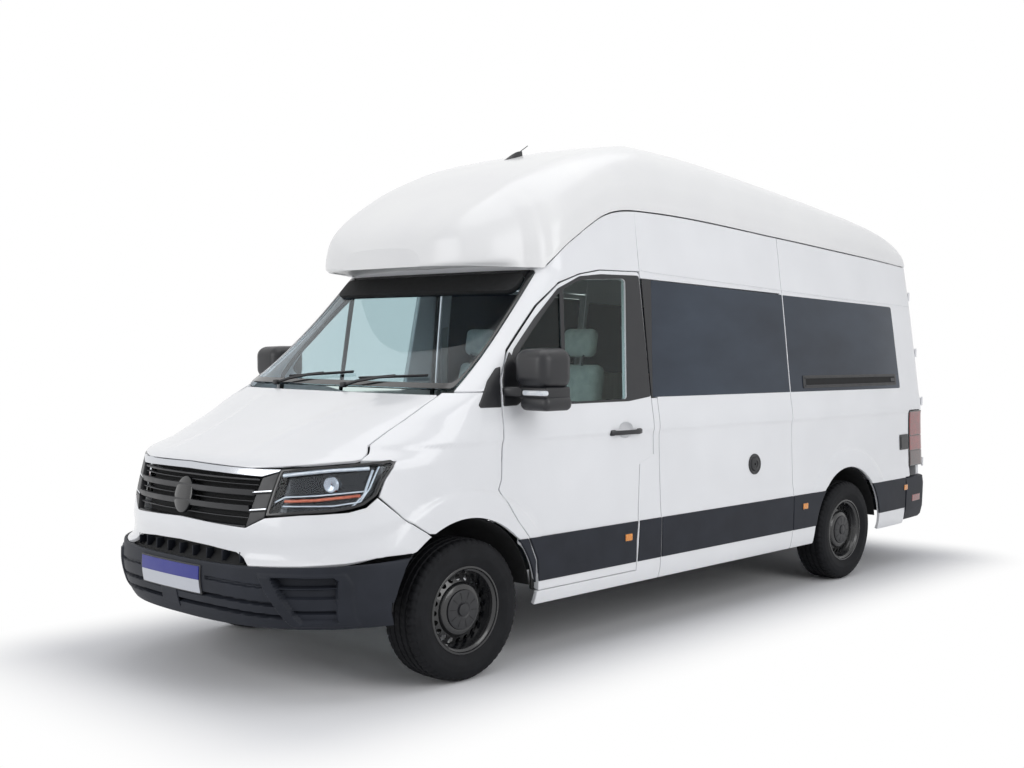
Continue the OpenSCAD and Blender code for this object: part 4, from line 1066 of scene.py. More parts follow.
y = np.concatenate([np.linspace(-1722, -1600, 16), np.linspace(-1585, -300, 72),
                    np.linspace(-270, 2600, 90), np.linspace(2615, 2850, 26)])
outer = roof_section(y)
d_row = np.gradient(outer, axis=0)
d_col = np.gradient(outer, axis=1)
out = np.cross(d_row, d_col)
out /= np.maximum(np.linalg.norm(out, axis=2), 1e-9)[..., None]
inner = outer - out * 26
inner[..., 1] = np.clip(inner[..., 1], -1700, 2824)
inner[:, 0, 2], inner[:, -1, 2] = outer[:, 0, 2] + 1, outer[:, -1, 2] + 1
shell = slab(outer[:, ::-1], inner[:, ::-1])
k = outer.shape[1]
shell[1].append([i for i in range(k)][::-1])
shell[1].append([(len(y) - 1) * k + i for i in range(k)])
piece("roof_skin", shell, gelcoat, stands_for=["high_roof"], sharp=50)

# %% [markdown]
# The lip over the windscreen is hollow, so it needs a floor of its own that
# closes it from below. The floor bulges up a little, as the moulding does.

# %% Underside of the alcove
x = np.linspace(-1, 1, 41)
y = np.linspace(-1718, -1240, 30)
reach = station(4, y) - 30
P = np.stack([reach[:, None] * x[None], y[:, None] + 0 * x[None],
              lip_z + 2 + 26 * (1 - x[None] ** 2)
              * np.sin(np.pi * np.clip((y[:, None] + 1718) / 478, 0, 1))], -1)
piece("alcove_floor", slab(P[:, ::-1], P[:, ::-1] + (0, 0, 10)), gelcoat)

# %% [markdown]
# The windscreen is bonded behind a printed black border. The living space
# has large panes that lie on the paint, two on each side, with a black
# cover on the pillar before them.

# %% Windscreen and side glass
screen = [(-861, 1428), (861, 1428), (810, 1776), (786, 2042), (-786, 2042), (-810, 1776)]
piece("windscreen_pane", panel(rounded(screen, 22), front, 9, rim=1.5, proud=-4), screen_glass,
      stands_for=["windscreen"])
black_band, tree, shader = finish("black ceramic print on glass", "#0d0e10", 0.12, Coat_Weight=0.3)
vary(tree, shader, pattern(tree, 60), 0.1, 0.16, "Roughness")
frit = panel(rounded([(-862, 1427), (862, 1427), (812, 1776), (788, 2044), (-788, 2044),
                      (-812, 1776)], 22), front, -3.4, rim=0.5, proud=3.9,
             holes=[rounded([(-847, 1452), (847, 1452), (797, 1776), (767, 2012), (-767, 2012),
                             (-797, 1776)], 44)])
piece("windscreen_frit", frit, black_band)
visor = panel(rounded([(-748, 1925), (748, 1925), (752, 2022), (-752, 2022)], 44), front, -14, rim=2,
              proud=-17)
piece("header_band", visor, liner_black)

first = rounded([(-549, 1358), (901, 1355), (901, 1999), (-472, 2030)], [14, 4, 4, 14])
second = rounded([(913, 1355), (2462, 1352), (2468, 1376), (2424, 1958), (2402, 1966), (913, 1998)],
                 [4, 24, 24, 24, 24, 4])
for name, flip in sides:
    panes = [panel(second, side, 5, rim=1.5, proud=1.5)]
    if name == "left":
        panes.append(panel(first, side, 5, rim=1.5, proud=1.5))
    else:
        panes.append(panel(rounded([(-498, 1356), (899, 1355), (899, 1999), (-498, 2026)], 8), side,
                           5, rim=1.5, proud=1.5))
    piece("side_panes_" + name, flip(together(*panes)), privacy_glass_painted_reflection,
          stands_for=["side_windows"] if name == "left" else ())
    pillar = panel(rounded([(-558, 1358), (-540, 1358), (-472, 2034),
                            (-558, 2034)] if name == "left" else
                           [(-558, 1358), (-510, 1358), (-510, 2034), (-558, 2034)], 3), side, 4,
                           rim=1, proud=0.8)
    piece("pillar_cover_" + name, flip(pillar), satin_black)

# %% [markdown]
# ## Side bands, mirrors and handles
# A wide charcoal band runs along each side at bumper height. It stands
# proud of the paint and has softly rounded edges.

# %% Side bands
band_low, band_top, band_r = 431, 664, 452
def band_piece(points, step=40):
    """Length of the band: an outline that stands 10 proud of the side and is rounded by 5."""
    return panel(rounded(points, 6), side_plain, 2, rim=5, proud=10, step=step)

def side_plain(y, z):
    """Side without its soft forms, for the band that bridges them."""
    return np.stack([skin_x(y, z) - forms(y, z), y, z + 0 * y], -1)

def beside_wheel(yc, t):
    """Points of the band's end along a wheel opening, those between its lower and its upper edge."""
    return [q for q in arc_points(yc, band_r, t) if band_low < q[1] < band_top]

fore_arch = beside_wheel(rear_axle, np.radians(np.linspace(165, 138, 6)))
aft_arch = beside_wheel(rear_axle, np.radians(np.linspace(15, 43, 6)))
after_wheel = beside_wheel(front_axle, np.radians(np.linspace(15, 43, 6)))
dx_low, dx_top = (math.sqrt(band_r ** 2 - (zz - wheel_z) ** 2) for zz in (band_low, band_top))
bands = [
    [(-719, band_low), (-508, band_low), (-508, band_top), (-705, band_top)],
    [(-502, band_low), (902, band_low), (902, band_top), (-502, band_top)],
    [(909, band_low), (rear_axle - dx_low, band_low)] + fore_arch
    + [(rear_axle - dx_top, band_top), (909, band_top)],
    [(rear_axle + dx_low, band_low), (2524, band_low), (2518, band_top),
     (rear_axle + dx_top, band_top)] + aft_arch[::-1],
    [(front_axle + dx_low, band_low), (-1541, band_low), (-1540, 543), (-1596, 662),
     (-1600, band_top), (front_axle + dx_top, band_top)] + after_wheel[::-1]]
door_band = [(-1518, band_low), (-732, band_low), (-732, 555), (-720, band_top), (-1585, band_top),
             (-1582, 658), (-1528, 545)]
shapes = [band_piece(b) for b in bands]
for name, flip in sides:
    piece("side_bands_" + name, flip(together(*shapes)), charcoal,
          stands_for=["side_trims"] if name == "left" else ())
    piece("door_band_" + name, flip(band_piece(door_band)), charcoal, "front_door_" + name)

# %% [markdown]
# A handle is a bowed bar on two feet. The mirror stands on a triangle in
# the corner of the door's window: a large rounded housing over a smaller
# one with the wide-angle glass, and a lamp between them.

# %% Door handles and mirrors
for name, flip in sides:
    body = "front_door_" + name
    yy = np.linspace(-940, -682, 26)
    arch_out = 20 * np.clip(1 - ((yy + 811) / 129) ** 4, 0, 1)
    path = np.stack([skin_x(yy, 1170 + 0 * yy) + 4 + arch_out, yy, 1170 + 0 * yy], -1)
    grip = sweep(path, rounded([(-13, -7), (13, -7), (13, 7), (-13, 7)], 6, 4), up=(1, 0, 0))
    rest = [panel(rounded([(a - 22, 1154), (a + 22, 1154), (a + 22, 1186), (a - 22, 1186)], 13), side,
                  2, rim=4, proud=8, step=10) for a in (-922, -700)]
    piece("door_handle_" + name, flip(together(grip, *rest)), satin_black, body)
    tri = panel(rounded([(-1734, 1340), (-1640, 1342), (-1560, 1392), (-1630, 1560), (-1650, 1612),
                         (-1700, 1540), (-1726, 1470)], 8), side, 1, rim=3, proud=7, step=18)
    piece("mirror_base_" + name, flip(tri), satin_black, body)
    sail = panel(rounded([(-1898, 1350), (-1888, 1337), (-1752, 1336), (-1744, 1468), (-1722, 1538),
                          (-1752, 1530), (-1820, 1466)], 8), side, 1, rim=3, proud=5, step=18)
    piece("mirror_sail_" + name, flip(sail), satin_black)
    # the housing: a rounded block lower at its front edge, over a smaller pod
    V, F = block((1008, -1720, 1426), (1236, -1496, 1636), 62, 9)
    back = np.clip((V[:, 1] + 1720) / 224, 0, 1)
    V = V + np.stack([0 * back, 0 * back, (V[:, 2] - 1529) * 0.10 * (back - 1)], -1)
    upper = (V, F)
    lower = block((1040, -1700, 1322), (1236, -1502, 1396), 32, 7)
    middle = block((1022, -1688, 1380), (1222, -1508, 1442), 14, 5)
    arm = sweep([(948, -1700, 1412), (985, -1698, 1415), (1020, -1670, 1415), (1060, -1640, 1415)],
                rounded([(-34, -24), (34, -24), (34, 24), (-34, 24)], 14, 4))
    piece("mirror_housing_" + name, flip(together(upper, lower, middle, arm)), satin_black, body,
          stands_for=["mirror_" + name])
    glass = block((1062, -1499, 1472), (1188, -1493, 1596), 2.9)
    piece("mirror_glass_" + name, flip(together(glass, block((1070, -1505, 1344), (1206, -1499, 1378),
            2.9))), chrome, body)
    repeater = block((1072, -1708, 1398), (1230, -1674, 1424), 10)
    piece("mirror_repeater_" + name, flip(repeater), light_guide, body)

# %% [markdown]
# ## Small parts on the sides
# Amber markers sit in the band, a round cap and a square flap serve the
# living space, and the rear windows have a sliding strip low down.

# %% Markers, cap, flap and window strip
def round_disc(y, z, profile, steps=40):
    """Disc on the left side wall, turned from a profile of (radius, height above the skin) that
    starts at the rim."""
    a = np.linspace(0, 2 * math.pi, steps, endpoint=False)
    rows = [at_depth(side, np.stack([y + r * np.cos(a), z + r * np.sin(a)], -1), -h) for r,
            h in profile]
    return loft(np.array(rows)[:, ::-1], ring=False)

def plate_on(loop, depth, proud, surface=side, rim=2, r=4, step=16):
    """Small cover on a surface: an outline with rounded corners, at a depth and a height above it."""
    return panel(rounded(loop, r), surface, depth, rim=rim, proud=proud, step=step)

def box_loop(y0, y1, z0, z1):
    """Rectangle between two lengths and two heights."""
    return [(y0, z0), (y1, z0), (y1, z1), (y0, z1)]

marker_at = [(-809, 581), (1045, 583), (2514, 590)]
for name, flip in sides:
    for k, (yc, zc) in enumerate(marker_at):
        body = "front_door_" + name if k == 0 else "van"
        frame = plate_on(box_loop(yc - 34, yc + 34, zc - 24, zc + 24), -9, 13, side_plain, 3, 7)
        lens = plate_on(box_loop(yc - 29, yc + 29, zc - 19, zc + 19), -10, 17, side_plain, 3, 6)
        piece("marker_frame_%s_%d" % (name, k), flip(frame), satin_black, body)
        piece("marker_%s_%d" % (name, k), flip(lens), marker_amber, body)
cap_at = (461, 906)
piece("water_cap", round_disc(*cap_at, [(66, -4), (66, 4), (62, 8), (55, 8), (50, 5), (46, 5),
                                        (42, 12), (24, 14), (22, 10), (8, 10), (7, 16), (0.5, 16)]),
                                        satin_black)
piece("socket_flap", together(plate_on(box_loop(2436, 2582, 880, 996), 0, 7, rim=3, r=8),
                              plate_on(box_loop(2450, 2568, 894, 982), -6, 10, rim=2, r=6)),
                              satin_black)
for name, flip in sides:
    track = [plate_on([(1067, 1377), (2399, 1377), (2396, 1460), (1067, 1462)], -3, 7, rim=3, r=12,
                      step=60)]
    rail = [plate_on(box_loop(1090, 2378, zz, zz + 7), -6, 11, rim=2, r=3, step=60)
            for zz in (1389, 1442)]
    knob = plate_on(box_loop(2296, 2360, 1404, 1430), -6, 12, rim=2, r=6)
    inner = plate_on(box_loop(1100, 2372, 1398, 1440), -6, 7.6, rim=0.5, r=6, step=60)
    piece("window_strip_" + name, flip(together(*track, *rail, knob)), satin_black)
    piece("window_strip_slot_" + name, flip(inner), liner_black)
# drip channel over the side windows
gutter_yz = [(-560, 2083), (-451, 2077), (107, 2058), (907, 2031), (1647, 2006), (2561, 1987),
             (2750, 1984)]
yy = np.linspace(-556, 2770, 60)
zz = through(gutter_yz, yy)
gutter = sweep(np.stack([skin_x(yy, zz) - 1.5, yy, zz], -1),
               rounded([(-6, -2), (6, -4), (6, 4), (-6, 2)], 2, 3), up=(0, 0, 1))
piece("gutters", both(gutter), white_paint)

# %% [markdown]
# ## Tail
# Upright red lamps fill the rear corners over the ends of the bumper. The
# two rear doors hang on outside hinges and meet on the centre line.

# %% Tail lamps and rear bumper
red_lens, tree, shader = finish("red acrylic tail lens", "#7e1116", 0.12, Coat_Weight=0.6)
vary(tree, shader, pattern(tree, 60), "#6e0e13", "#8f161c")
smoked_red, tree, shader = finish("dark red acrylic lens", "#3a0c10", 0.14, Coat_Weight=0.6)
vary(tree, shader, pattern(tree, 60), "#300a0d", "#440f14")
lamp_front = 2606
def lamp_loop(z0, z1, inset=0):
    """Outline of a tail lamp or a part of it between two heights: upright in front, leaning with the
    tail behind."""
    end = [(float(back_y(v) - 14) - inset, float(v)) for v in np.linspace(z0, z1, 5)]
    return [(lamp_front + inset, z0)] + end + [(lamp_front + inset, z1)]

def side_still(y, z):
    """Side without its soft forms but with the rolled rear corner."""
    return np.stack([skin_x(y, z) - forms(y, z) + 4, y, z + 0 * y], -1)

for name, flip in sides:
    housing = plate_on(lamp_loop(744, 1172), 26, 1, side_still, 4, 9, 18)
    red = [plate_on(lamp_loop(a, b, 7), 6, 4, side_still, 3, 6, 18) for a,
           b in ((984, 1164), (868, 976))]
    dark = plate_on(lamp_loop(752, 860, 7), 6, 4, side_still, 3, 6, 18)
    ribs = [plate_on(lamp_loop(a, a + 3, 12), 0, 5.2, side_still, 0.8, 1, 18)
            for a in range(1004, 1150, 16)]
    piece("tail_lamp_body_" + name, flip(housing), gloss_black,
          stands_for=["tail_lamps"] if name == "left" else ())
    piece("tail_lamp_red_" + name, flip(together(*red, *ribs)), red_lens)
    piece("tail_lamp_dark_" + name, flip(dark), smoked_red)

bumper_z = np.array([332, 352, 420, 520, 600, 640, 656, 662.0])
def rear_bumper_rows():
    """Rows of the rear bumper from its front end round the corner to the centre line, each a point
    on a plan curve moved out by an amount that depends on the height."""
    out = np.interp(bumper_z, [332, 352, 420, 600, 656, 662], [-10, 6, 14, 14, 6, -8])
    rows = []
    for z, o in zip(bumper_z, out):
        y = np.linspace(2532, 2830, 14)
        x = skin_x(y, z + 0 * y) - forms(y, z + 0 * y) + corner(y, z + 0 * y)
        a = np.linspace(0, math.pi / 2, 9)[1:]
        cx, cy, r = float(x[-1]) - 78, 2830.0, 78.0
        across_x = np.linspace(cx, 0, 16)[1:]
        px = np.concatenate([x + o, cx + (r + o) * np.cos(a), across_x])
        py = np.concatenate([y, cy + (r + o) * np.sin(a) + 0 * a, cy + r + o + 0 * across_x])
        step_out = 52 * ease((cx + 40 - px) / 90) * ease((600 - z) / 40)
        rows.append(np.stack([px, py + step_out, z + 0 * px], -1))
    return np.array(rows)
outer = rear_bumper_rows()
inner = outer.copy()
inner[..., 0] *= 0.965
inner[..., 1] = np.where(inner[..., 0] < 800, inner[..., 1] - 40, inner[..., 1] - 6)
rear_shell = slab(outer, inner)
piece("rear_bumper_skin", both(rear_shell), charcoal, stands_for=["rear_bumper"])
treads = [block((-560, 2900, 566), (560, 2986, 572), 2.5)]
treads += [block((-540, 2906 + 13 * k, 570), (540, 2911 + 13 * k, 575), 2) for k in range(6)]
piece("step_tread", together(*treads), satin_black)
for name, flip in sides:
    reflector = plate_on(box_loop(2640, 2790, 470, 520), -8, 12, side_still, 2, 5)
    piece("rear_reflector_" + name, flip(reflector), red_lens)

# %% [markdown]
# Each rear door is one flat pressing with a window, cut to the leaning side
# of the body. Its four outside hinges ride with it, and so does its pane.

# %% Rear doors
door_low, door_high = 582, 2232
hinge_heights = (760, 1240, 1620, 2060)
def rear_outline(gap=4):
    """Outline of one rear door: straight beside the centre line, and outside parallel to the leaning
    side."""
    zz = np.linspace(door_low, door_high, 14)
    edge = skin_x(2700 + 0 * zz, zz) - forms(2700 + 0 * zz, zz) - 62
    return [(gap, door_low)] + list(zip(edge, zz)) + [(gap, door_high)]
glass_hole = rounded([(118, 1378), (738, 1378), (702, 1962), (118, 1962)], 46, 6)
for name, flip in sides:
    body = "rear_door_" + name[0]
    skin = panel(rounded(rear_outline(), 12, 4), lambda x, z: tail(x, z) - (0, 4, 0), -36,
                 holes=[glass_hole], step=36)
    # the sheet is made facing forwards with its depth running back, so its faces are turned round
    skin = (skin[0], [f[::-1] for f in skin[1]])
    piece("rear_door_skin_" + name, flip(skin), white_paint, body, stands_for=["rear_door_" + name])
    pane_ = panel(rounded([(102, 1362), (752, 1362), (716, 1978), (102, 1978)], 52, 6), tail, -5,
                  rim=1.5, step=60)
    piece("rear_pane_" + name, flip((pane_[0], [f[::-1] for f in pane_[1]])), privacy_glass_painted_reflection, body,
          stands_for=["rear_door_%s_glass" % name])
    hinges = []
    for zc in hinge_heights:
        xe = float(skin_x(np.array([2700.0]), np.array([zc * 1.0]))[0]) - 66
        ye = float(back_y(zc)) - 8
        hinges.append(block((xe - 70, ye, zc - 26), (xe + 26, ye + 13, zc + 26), 4))
        hinges.append(moved(turned([(-34, 0.5), (-34, 8), (34, 8), (34, 0.5)], (0, 0, 0), 16,
                                   ring=False), (xe + 34, ye + 10, zc), 90, 1))
    piece("rear_hinges_" + name, flip(together(*hinges)), white_paint, body)
handle = together(block((30, 2880, 1086), (86, 2897, 1250), 8),
                  block((38, 2890, 1100), (78, 2916, 1236), 9))
piece("rear_handle", handle, satin_black, "rear_door_l")

# %% [markdown]
# ## Windscreen fittings and roof fittings
# Two wipers rest at the foot of the glass. On the roof are a hatch and a
# short aerial on a shark fin.

# %% Wipers
def on_glass(x, z, lift):
    """Point over the windscreen at half width x and height z, lifted off the glass."""
    p = front(np.array([float(x)]), np.array([float(z)]))[0]
    n = facing(front, np.array([[float(x), float(z)]]))[0]
    return p + n * lift

shapes = []
for pivot, tip_a, tip_b in (((-520, 1424), (-470, 1462), (40, 1494)),
                            ((90, 1424), (150, 1464), (640, 1486))):
    mid = ((tip_a[0] * 0.45 + tip_b[0] * 0.55), (tip_a[1] * 0.45 + tip_b[1] * 0.55))
    xs, zs = np.linspace(tip_a[0], tip_b[0], 16), np.linspace(tip_a[1], tip_b[1], 16)
    blade = np.array([on_glass(x, z, 9) for x, z in zip(xs, zs)])
    shapes.append(sweep(blade, rounded([(-8, -9), (8, -9), (5, 5), (-2, 8)], 3, 3), up=(0, -1, 0.4)))
    arm = np.array([on_glass(*pivot, 8), on_glass(pivot[0] * 0.7 + mid[0] * 0.3,
                                                  pivot[1] * 0.7 + mid[1] * 0.3, 20),
                                                  on_glass(pivot[0] * 0.3 + mid[0] * 0.7,
                                                          pivot[1] * 0.3 + mid[1] * 0.7, 20),
                                                          on_glass(*mid, 12)])
    shapes.append(sweep(arm, rounded([(-9, -5), (9, -5), (6, 5), (-6, 5)], 3, 3), up=(0, -1, 0.4)))
    foot = on_glass(*pivot, 10)
    shapes.append(block(foot - (16, 16, 14), foot + (16, 16, 14), 8))
piece("wiper_set", together(*shapes), satin_black, stands_for=["wipers"])

# %% [markdown]
# The hatch is a shallow lid in a black frame that follows the slope of the
# roof. The aerial's foot is a fin, lofted from sections that rise and fall.

# %% Roof hatch and aerial
tilt = -4.5
hatch = [block((-245, 50, 2852), (245, 470, 2894), 16), block((-262, 34, 2846), (262, 486, 2866), 8)]
hatch = [moved(h, turn=tilt, axis=0, about=(0, 260, 2868)) for h in hatch]
piece("roof_hatch", hatch[0], gelcoat, stands_for=["roof_fittings"])
piece("roof_hatch_frame", hatch[1], satin_black)
y = np.linspace(-800, -640, 15)
rise = 34 * np.sin(np.clip((y + 800) / 160, 0, 1) * math.pi * 0.62) ** 1.4
base = roof_height(y)
fin = [[(x, yy, b - 14 + (h + 12) * f) for x,
        f in ((w, 0.1), (w * 0.8, 0.55), (w * 0.3, 0.96), (0, 1), (-w * 0.3, 0.96), (-w * 0.8, 0.55),
              (-w, 0.1))]
       for yy, h, b, w in zip(y, rise, base, 20 * np.sin(np.clip((y + 806) / 172, 0, 1)
               * math.pi) ** 0.5)]
fin = loft(np.array(fin)[:, ::-1])
root = np.array([0, -690, float(roof_height(np.array([-690.0]))[0]) + 16])
whip = sweep([root, root + (0, 40, 26), root + (0, 100, 66)], circle(2.6, 8))
piece("aerial", together(fin, whip, moved(block((-5, -10, -5), (5, 14, 9), 3), root)), satin_black)

# %% [markdown]
# ## Inside and below
# The cab shows through its glass: a dark dashboard, a leather wheel and two
# seats in light grey cloth with ribbed middles. Parts that already have
# their final shape keep it and get a finish here.

# %% Finishes of the cabin
seat_cloth, tree, shader = finish("light grey woven seat cloth", "#a9aca6", 0.9, Sheen_Weight=0.15)
vary(tree, shader, pattern(tree, 45), "#a0a39d", "#b2b5ae")
grain(tree, shader, pattern(tree, 1.6), 0.15, 0.7)
dash_black, tree, shader = finish("soft dark dashboard skin", "#26282c", 0.66)
vary(tree, shader, pattern(tree, 120), "#232529", "#2b2d32")
grain(tree, shader, pattern(tree, 2.0), 0.08, 0.5)
wheel_leather, tree, shader = finish("black leather", "#141518", 0.5)
grain(tree, shader, pattern(tree, 2.2), 0.06, 0.6)
vary(tree, shader, pattern(tree, 30), 0.45, 0.58, "Roughness")
cabinet, tree, shader = finish("pale laminate cabinet board", "#b8b0a2", 0.45)
vary(tree, shader, pattern(tree, 30, 4.0, (1, 1, 14)), "#aea696", "#c2baac")
lining, tree, shader = finish("light grey moulded lining", "#b9bab8", 0.75)
vary(tree, shader, pattern(tree, 60), "#b2b3b1", "#c0c1be")
mattress_cloth, tree, shader = finish("grey ticking", "#9ea09b", 0.92, Sheen_Weight=0.1)
vary(tree, shader, pattern(tree, 60), "#969892", "#a6a8a2")
grain(tree, shader, pattern(tree, 2.0), 0.2, 0.6)
tank_plastic, tree, shader = finish("black rotational-moulded tank", "#1a1b1d", 0.6)
vary(tree, shader, pattern(tree, 90), "#161719", "#1f2023")

carried = {"dashboard": dash_black, "steering_wheel": wheel_leather, "furniture": cabinet,
           "floor_pan": steel_dark, "wheel_housings": liner_black, "engine_block": cast_iron,
           "front_subframe": steel_dark, "rear_axle": steel_dark, "underfloor_tanks": tank_plastic,
           "exhaust": pipe_steel, "knuckle_left": cast_iron, "knuckle_right": cast_iron}
for node, mat in carried.items():
    for slot in bpy.data.objects[node].material_slots:
        slot.material = mat
print("nodes that keep their shape and get a finish:", len(carried))

# %% [markdown]
# The seats and the bed are padded. Each pad starts a little small, is
# remeshed evenly and blown up as cloth with a pressure inside; no point may
# move more than a cap. The ribs across the seat middles are pressed in last.

# %% Padded pieces
def stuffed(name, shape, finish, voxel, cap, ribs=None, stands_for=(), body="van"):
    """Pad: remeshed at a voxel, blown up by 20 frames of cloth at pressure 4 and capped, all in
    metres; ribs moves the points last."""
    made = piece(name, shape, finish, body, 60, stands_for)
    scene = bpy.context.scene
    grid = made.modifiers.new("even", "REMESH")
    grid.mode, grid.voxel_size = "VOXEL", voxel
    even = bpy.data.meshes.new_from_object(made.evaluated_get(bpy.context.evaluated_depsgraph_get()))
    made.modifiers.clear()
    made.data = even
    rest = np.array([v.co for v in even.vertices])
    cloth = made.modifiers.new("cloth", "CLOTH")
    cloth.settings.use_pressure = True
    cloth.settings.uniform_pressure_force = 4.0
    cloth.settings.effector_weights.gravity = 0.0
    for k in range(1, 21):
        scene.frame_set(k)
    blown = made.evaluated_get(bpy.context.evaluated_depsgraph_get()).to_mesh()
    moved_to = np.array([v.co for v in blown.vertices])
    made.modifiers.clear()
    scene.frame_set(1)
    move = moved_to - rest
    far = np.linalg.norm(move, axis=1, keepdims=True)
    rest = rest + move * np.minimum(1, cap / np.maximum(far, 1e-9))
    if ribs:
        rest = ribs(rest * 1000) / 1000
    even.vertices.foreach_set("co", rest.ravel())
    even.shade_smooth()
    even.materials.clear()
    even.materials.append(finish)
    return made

def ribbed(direction, centre, half, along, pitch=32, deep=5.0):
    """Mover that presses grooves of a pitch along an axis into the points that face a direction,
    within half of the centre across X."""
    d = np.array(direction, float)
    def press(P):
        out = (P - P.mean(0)) @ d
        near = ease((half - np.abs(P[:, 0] - centre)) / 10) * (out > 0.55 * out.max())
        reach = ease((P[:, along] - P[:, along].min() - 70) / 20) * ease((P[:,
                along].max() - 70 - P[:, along]) / 20)
        groove = np.exp(-(((P[:, along] + pitch / 2) % pitch - pitch / 2) / 5.0) ** 2)
        return P - d * (deep * near * reach * groove)[:, None]
    return press

def tapered(shape, low, high, width_low, width_high, centre):
    """Shape scaled across X about a centre: by width_low at height low and width_high at height
    high."""
    V, F = shape
    t = np.clip((V[:, 2] - low) / (high - low), 0, 1)
    wide = width_low + (width_high - width_low) * ease(t)
    return V * (0, 1, 1) + np.stack([centre + (V[:, 0] - centre) * wide, 0 * t, 0 * t], -1), F

seat_x, lift = 430, 90
for side_name, k in (("left", 1), ("right", -1)):
    centre = k * seat_x
    cushion = block((centre - 235, -1150, 770 + lift), (centre + 235, -690, 892 + lift), 42, 6)
    stuffed("seat_cushion_" + side_name, cushion, seat_cloth, 0.010, 0.010,
            ribbed((0, 0, 1), centre, 120, 1), stands_for=["cab_seats"] if k > 0 else ())
    rest = tapered(block((centre - 232, -738, 870 + lift), (centre + 232, -640, 1480 + lift), 44, 6),
                   1240 + lift, 1480 + lift, 1.0, 0.74, centre)
    rest = moved(rest, turn=-12, axis=0, about=(0, -740, 880 + lift))
    stuffed("seat_back_" + side_name, rest, seat_cloth, 0.010, 0.012,
            ribbed((0, -math.cos(math.radians(12)), math.sin(math.radians(12)) * -1), centre, 118, 2))
    head = moved(block((centre - 122, -636, 1500 + lift), (centre + 122, -552, 1670 + lift), 40, 6),
                 turn=-10, axis=0, about=(0, -640, 1490 + lift))
    stuffed("seat_head_" + side_name, head, seat_cloth, 0.010, 0.010)
    base = [block((centre - 205, -1100, 512), (centre + 205, -700, 690), 20),
            block((centre - 225, -1120, 684), (centre + 225, -690, 790 + lift), 30)]
    posts = [sweep([(centre + w * 60, -628, 1440 + lift), (centre + w * 60, -600, 1540 + lift)],
                   circle(6, 10)) for w in (-1, 1)]
    piece("seat_shell_" + side_name, together(*base, *posts), dash_black)
    belt = np.array([(k * 800, -560, 700), (k * 806, -560, 1300), (k * 790, -570, 1700),
                     (k * 770, -580, 1760)], float)
    piece("seat_belt_" + side_name, sweep(belt, rounded([(-24, -1.2), (24, -1.2), (24, 1.2),
            (-24, 1.2)], 1, 2), up=(1, 0, 0)), lining)
for side_name, x0, x1 in (("left", 8, 842), ("right", -842, -8)):
    stuffed("mattress_" + side_name, block((x0, 1508, 950), (x1, 2732, 1040), 34, 5), mattress_cloth,
            0.022, 0.012, stands_for=["cushions"] if x0 > 0 else ())

# %% [markdown]
# ## Wheels
# A steel wheel is a rolled rim with a pressed disc. Twenty round holes near
# the rim let air to the brake; the disc bulges round the hub and a plastic
# cap with thin radial slits covers the bolts. The tyre carries four grooves
# round it and short cuts across its shoulders.

# %% Tyre and wheel forms
def tyre_shape(steps=270):
    """Tyre: a closed profile turned round the axle, with grooves round it and cuts across that
    repeat 54 times."""
    p = rounded([(-84, 208), (-96, 212), (-106, 236), (-117, 268), (-116, 300), (-108, 326),
                 (-98, 341), (-84, 348), (-66, 350),
                 (66, 350), (84, 348), (98, 341), (108, 326), (116, 300), (117, 268), (106, 236),
                 (96, 212), (84, 208)], 6, 4)
    crown = p[:, 1] > 346
    left, right = p[:int(np.argmax(crown)) + 1], p[len(p) - int(np.argmax(crown[::-1])) - 1:]
    x = np.linspace(left[-1][0], right[0][0], 61)[1:-1]
    tread = np.stack([x, 351 - 5 * (np.abs(x) / 88) ** 3], -1)
    p = np.concatenate([left, tread, right, [(60, 222), (-60, 222)]])[::-1]
    a = np.linspace(0, 2 * math.pi, steps, endpoint=False)[:, None]
    r = p[:, 1] + 0 * a
    on_top = (p[:, 1] > 343)[None]
    for c in (-58, -20, 20, 58):
        r = r - on_top * 8 * ease((5.5 - np.abs(p[:, 0] - c)) / 2)[None]
    phase = (a * 54 / (2 * math.pi) + np.abs(p[:, 0])[None] * 0.006) % 1
    across_cut = ease((0.16 - np.abs(phase - 0.5)) / 0.05)
    r = r - across_cut * 5 * (np.abs(p[:, 0]) > 60)[None] * (p[:, 1] > 330)[None]
    r = r - on_top * across_cut * 2.5 * (np.abs(p[:, 0]) < 58)[None]
    side_rib = 0.8 * np.sin((p[:, 1] - 240) / 9) * (np.abs(p[:, 0]) > 90) * (p[:, 1] < 300)
    x = (p[:, 0] + np.sign(p[:, 0]) * side_rib)[None] + 0 * a
    P = np.stack([x, r * np.sin(a), r * np.cos(a)], -1)
    return P.reshape(-1, 3), grid_faces(steps, len(p), True, True)

def vent_band(r0, x0, r1, x1, count=20, hole=14.5, thick=4.0):
    """Ring of the disc with round holes: each cell's square edge is drawn in to a circle, and the
    two faces are joined through the hole."""
    k = 32
    q = np.linspace(0, 2 * math.pi, k, endpoint=False) + math.pi / 4
    square = np.stack([np.cos(q), np.sin(q)], -1)
    square /= np.max(np.abs(square), 1)[:, None]
    round_ = np.stack([np.cos(q), np.sin(q)], -1)
    mid, span = (r0 + r1) / 2, (r1 - r0) / 2
    cell = math.pi / count
    V, F, base = [], [], 0
    for i in range(count):
        rows = []
        for s, side_ in ((1.0, 1), (0.5, 1), (0.0, 1), (0.0, -1), (0.5, -1), (1.0, -1)):
            rr = mid + (square[:, 1] * span) * s + round_[:, 1] * hole * (1 - s)
            aa = 2 * cell * i + square[:, 0] * cell * s + round_[:, 0] * hole / mid * (1 - s)
            xx = x0 + (x1 - x0) * (rr - r0) / (r1 - r0) + side_ * thick / 2
            rows.append(np.stack([xx, rr * np.sin(aa), rr * np.cos(aa)], -1))
        V.append(np.array(rows).reshape(-1, 3))
        F += (np.array(grid_faces(6, k, False, True)) + base).tolist()
        base += 6 * k
    return np.concatenate(V), F

